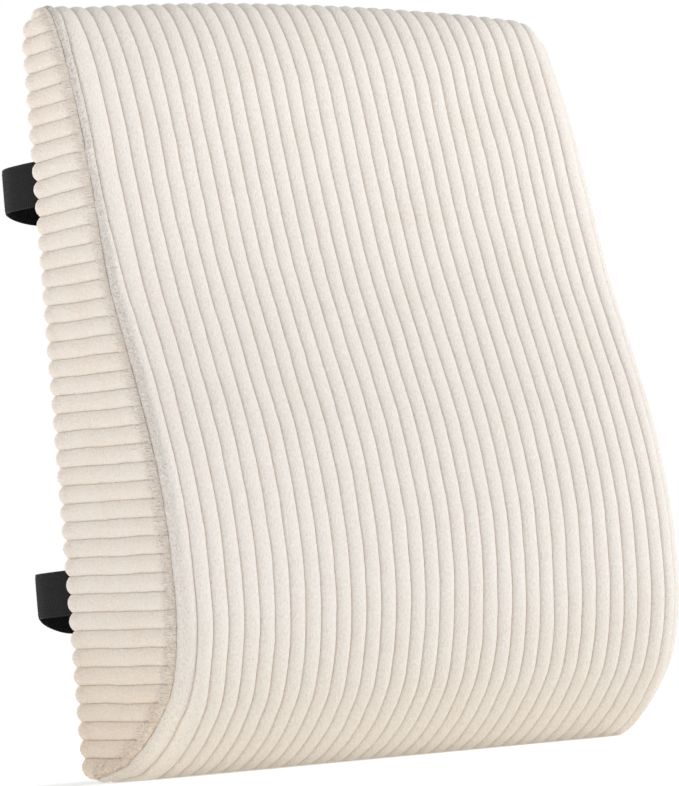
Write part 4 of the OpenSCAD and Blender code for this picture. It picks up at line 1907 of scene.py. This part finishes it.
    def _webbing(self, name: str, route: Array) -> bpy.types.Object:
        """Ribbed elastic on edge along a route.

        Across the webbing at c and along it at s, each face stands out by the rib height times
        |sin(pi s / rib + pi q / 2)| * (0.55 + 0.45 |cos(pi c / band)|), where q is the number of
        the band that c is in, so that the ribs of neighbouring bands alternate.

        Args:
            name: the piece's name.
            route: its middle line, as (X, Y).

        Returns:
            The new object.
        """
        keep = np.r_[True, np.linalg.norm(np.diff(route, axis=0), axis=1) > 1e-7]
        route = route[keep]
        total = along(route)[-1]
        line = resampled(route, int(total / (self.rib / 4)))
        s = along(line)
        outward = np.abs(line[:, 0]) - self.seam_x + self.BOW_END
        level = self.middle + self.droop * smooth(0, 1, outward / self.BOW_END)
        path = np.column_stack([line, level])
        per_face, band = 26, 2.5 * MM
        c = self.half_width * np.sin(np.linspace(-np.pi / 2, np.pi / 2, per_face)) * 0.999
        c = 0.5 * c + 0.5 * np.linspace(-self.half_width, self.half_width, per_face) * 0.999
        thick = self.half_thick * (1 - np.abs(c / self.half_width) ** 8) ** (1 / 3)
        number = np.floor((c + self.half_width) / band)
        rib = np.abs(np.sin(np.pi * s[:, None] / self.rib + np.pi * number[None] / 2))
        rib = rib * (0.55 + 0.45 * np.abs(np.cos(np.pi * (c[None] + self.half_width) / band)))
        inside = np.clip((self.half_width - np.abs(c)) / (1.2 * MM), 0, 1)[None]
        face = thick[None] - self.rib_height * (1 - rib) * inside
        across = np.concatenate([c, c[::-1]])
        depth = np.concatenate([face, -face[:, ::-1]], axis=1)
        section = np.stack([depth, np.broadcast_to(across, depth.shape)], axis=-1)
        rings = swept(path, section, np.array([0.0, 0.0, 1.0]))
        points, faces = capped(rings, turn=True)
        uv = paired(across[None], s[:, None]).reshape(-1, 2)
        uv = np.vstack([uv, [[0, 0], [0, total]]])
        # The ribs' height, which the webbing's material paints as shade between the ribs.
        pile = np.append(np.concatenate([rib, rib[:, ::-1]], axis=1).ravel(), [1, 1])
        return add_mesh(name, points, faces, uv, {"pile": pile})

    def _keeper(self) -> None:
        """The keeper: a ribbed elastic loop, a flat section carried round a squared ring."""
        node = f"{self.strap.value}_keeper"
        low, high = box_of(node)
        middle, half = (low + high) / 2, (high - low) / 2
        wall = self.keeper_wall
        ring = superellipse(half[1] - wall / 2, half[2] - wall / 2, 9, 160)
        step = np.roll(ring, -1, axis=0) - np.roll(ring, 1, axis=0)
        step /= np.linalg.norm(step, axis=1, keepdims=True)
        outward = np.column_stack([step[:, 1], -step[:, 0]])
        section = superellipse(half[0], wall / 2, 7, 40)
        height = 0.12 * MM
        wave = np.cos(section[:, 0] * 2 * np.pi / self.keeper_rib)
        off_edges = np.abs(section[:, 0]) < 0.85 * half[0]
        section[:, 1] += np.sign(section[:, 1]) * height * (wave - 1) * off_edges
        rings = np.empty((len(ring), len(section), 3))
        rings[..., 0] = middle[0] + section[None, :, 0]
        rings[..., 1:] = middle[1:] + ring[:, None] + outward[:, None] * section[None, :, 1:]
        faces = quads(len(ring), len(section), wrap_rows=True, wrap_columns=True)
        uv = paired(section[None, :, 0], along(ring)[:, None])
        # The ribs' height, which the webbing's material paints as shade between the ribs.
        pile = np.broadcast_to(0.5 + 0.5 * wave[None], rings.shape[:2])
        piece = add_mesh(f"{self.strap.value}_keeper_loop", rings, faces, uv, {"pile": pile})
        finish_piece(piece, self.finishes.webbing, node, [node])

    def _grips(self) -> None:
        """Raised grip bars across the back face: four on the socket's mouth and two on the plug."""
        prefix = self.strap.value
        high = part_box(f"{prefix}_socket")[1]
        self._grip_bars(f"{prefix}_socket_grips", f"{prefix}_socket",
                        (high[0] - 3.4 * MM) - np.arange(4) * self.grip_pitch, high[1] - 0.1 * MM)
        self._grip_bars(f"{prefix}_plug_grips", "cushion",
                        (high[0] + 1.6 * MM) + np.arange(2) * self.grip_pitch, high[1] - 0.4 * MM)

    def _grip_bars(self, name: str, body: str, places: Array, face: float) -> None:
        """A row of soft-edged bars, 1.1 mm wide and 16 mm long.

        Args:
            name: the piece's name.
            body: the body that it rides on.
            places: X of each bar's middle.
            face: Y of the face that they stand on.
        """
        half_wide, half_long = 0.55 * MM, 8 * MM
        bars = [rounded_block((x - half_wide, face - 0.6 * MM, self.middle - half_long),
                              (x + half_wide, face + 0.45 * MM, self.middle + half_long), 4, 12, 12)
                for x in places]
        piece = add_mesh(name, *joined(bars))
        finish_piece(piece, self.finishes.plastic, body)

    def _stitches(self) -> None:
        """A boxed cross of thread through the short strap's lap, and a row through the hem."""
        lap_y = self.run_y + self.LAYER + self.half_thick
        hem_y = lap_y + self.LAYER
        left, right, half = self.SOCKET_BAR - 21 * MM, self.SOCKET_BAR - 13 * MM, 9.5 * MM
        corners = np.array([(left, half), (right, half), (right, -half), (left, -half), (left, half),
                            (right, -half), (right, half), (left, -half)]) + [0, self.middle]
        starts, ends = self._dashes(corners)
        piece = self._thread(f"{self.strap.value}_lap_stitches", starts, ends, lap_y)
        finish_piece(piece, self.finishes.thread, f"{self.strap.value}_socket")
        hem_x = self.TAIL_END - 7 * MM
        row = np.array([(hem_x, self.middle - 10 * MM), (hem_x, self.middle + 10 * MM)])
        starts, ends = self._dashes(row)
        piece = self._thread(f"{self.strap.value}_hem_stitches", starts, ends, hem_y)
        finish_piece(piece, self.finishes.thread, "cushion")

    @staticmethod
    def _dashes(corners: Array) -> tuple[Array, Array]:
        """Stitches along each leg of a path, one for every 2.2 mm, with a gap after each.

        Args:
            corners: the path's corners, as (X, Z).

        Returns:
            Where each stitch starts and where it ends.
        """
        starts, ends = [], []
        for a, b in zip(corners[:-1], corners[1:]):
            count = max(2, int(np.linalg.norm(b - a) / (2.2 * MM)))
            t = np.arange(count) / count
            starts.append(a + (b - a) * (t[:, None] + 0.14 / count))
            ends.append(a + (b - a) * (t[:, None] + 0.86 / count))
        return np.vstack(starts), np.vstack(ends)

    @staticmethod
    def _thread(name: str, starts: Array, ends: Array, y: float) -> bpy.types.Object:
        """Stitches half sunk into a face.

        Args:
            name: the piece's name.
            starts: where each begins, as (X, Z).
            ends: where each ends.
            y: Y of the face.

        Returns:
            The new object.
        """
        level = np.full(len(starts), y)
        a = np.column_stack([starts[:, 0], level, starts[:, 1]])
        b = np.column_stack([ends[:, 0], level, ends[:, 1]])
        points, faces = capsules(a, b, 0.3 * MM, 0.7)
        return add_mesh(name, points, faces, points[:, [0, 2]])


# ------------------------------------------------------------------ the studio

@dataclass
class Studio:
    """Camera, pale floor and soft lights.

    Attributes:
        place: where the camera stands.
        right: the direction of its right.
        up: the direction of its top.
        behind: the direction that it looks away from.
        lens: its focal length in mm, on a sensor 36 mm wide.
        floor_reach: radius of the floor.
    """

    place: tuple[float, float, float] = (-1.5334, -2.0822, 0.0290)
    right: tuple[float, float, float] = (0.80648, -0.58491, -0.08648)
    up: tuple[float, float, float] = (0.02900, -0.10695, 0.99384)
    behind: tuple[float, float, float] = (-0.59055, -0.80402, -0.06929)
    lens: float = 208.3
    floor_reach: float = 14.0

    def build(self) -> None:
        """Builds all of it, and keeps the colours plain."""
        self._camera()
        self._floor()
        self._world()
        self._soft_box("key", (2.3, -1.7, 1.5), 1.3, 51.0, (1.0, 0.99, 0.98))
        self._soft_box("fill", (-2.6, -0.9, 0.9), 1.6, 16.0, (1.0, 0.985, 0.965))
        self._soft_box("rim", (-0.4, 2.8, 1.5), 1.8, 42.0, (1.0, 1.0, 1.0))
        scene = bpy.context.scene
        scene.view_settings.view_transform = "Standard"
        scene.view_settings.look = "None"

    def _camera(self) -> None:
        """A long lens low in front and to the left."""
        data = bpy.data.cameras.new("camera")
        data.lens, data.sensor_width = self.lens, 36.0
        data.clip_start, data.clip_end = 0.1, 60.0
        camera = bpy.data.objects.new("camera", data)
        turn = Matrix((self.right, self.up, self.behind)).transposed().to_4x4()
        camera.matrix_world = Matrix.Translation(Vector(self.place)) @ turn
        bpy.context.scene.collection.objects.link(camera)
        bpy.context.scene.camera = camera

    def _floor(self) -> None:
        """A wide pale disc under the base, in rings at t^2 of its radius, that glows further out."""
        rings, sides = 24, 96
        angle = np.arange(sides) * 2 * np.pi / sides
        radius = np.linspace(0.02, 1, rings)[:, None] ** 2 * self.floor_reach
        points = np.stack([radius * np.cos(angle), radius * np.sin(angle), np.zeros((rings, sides))], axis=-1)
        faces = quads(rings, sides, wrap_columns=True, turn=True).tolist() + [list(range(sides))]
        floor = add_mesh("floor", points, faces)
        material, s, shader = new_material("pale_floor", 0.9)
        place = s.node("ShaderNodeTexCoord").outputs["Object"]
        grain = place_group(s, Effects.grain, Vector=place, Grain=400.0, Patch=1.5)
        pale = s.mix(grain.outputs["Patches"], rgb(246, 246, 246), rgb(243, 243, 243))
        s.put(shader.inputs["Base Color"], pale)
        shader.inputs["Specular IOR Level"].default_value = 0.05
        length = s.node("ShaderNodeVectorMath", operation="LENGTH")
        s.put(length.inputs[0], place)
        glow = s.ranged(length.outputs["Value"], 0.15, 1.6, 0.42, 1.0)
        s.put(shader.inputs["Emission Color"], s.mix(glow, (0.0, 0.0, 0.0, 1.0), (1.0, 1.0, 1.0, 1.0)))
        shader.inputs["Emission Strength"].default_value = 0.8
        floor.data.materials.append(material)

    def _world(self) -> None:
        """Even white light from all round, a little brighter where the camera sees it."""
        world = bpy.data.worlds.new("studio")
        world.use_nodes = True
        s = Shading(world.node_tree)
        background = world.node_tree.nodes["Background"]
        path = s.node("ShaderNodeLightPath")
        s.put(background.inputs["Strength"], s.ranged(path.outputs["Is Camera Ray"], 0, 1, 0.40, 1.0))
        background.inputs["Color"].default_value = (1.0, 1.0, 1.0, 1.0)
        bpy.context.scene.world = world

    def _soft_box(self, name: str, place: Sequence[float], size: float, power: float,
                  colour: tuple[float, float, float]) -> None:
        """A square area light that looks at the cushion's middle.

        Args:
            name: its name.
            place: where it stands.
            size: its side.
            power: its power in watts.
            colour: its colour.
        """
        data = bpy.data.lights.new(name, "AREA")
        data.size, data.energy, data.color = size, power, colour
        light = bpy.data.objects.new(name, data)
        light.location = place
        aim = Vector((0, 0, 0.2)) - Vector(place)
        light.rotation_mode = "QUATERNION"
        light.rotation_quaternion = aim.to_track_quat("-Z", "Y")
        bpy.context.scene.collection.objects.link(light)


def main() -> None:
    """Builds everything in order."""
    logging.basicConfig(level=logging.INFO, format="%(name)s: %(message)s")
    finishes = Finishes()
    Studio().build()
    shape = CushionShape()
    stuffing = Stuffing(shape)
    stuffing.run()
    Cover(shape, stuffing, finishes).build()
    Filling(shape, finishes).build()
    Zip(finishes).build()
    StrapSet(Strap.UPPER, 5 * MM, finishes).build()
    StrapSet(Strap.LOWER, 9 * MM, finishes).build()
    bpy.context.view_layer.update()


if __name__ == "__main__":
    main()
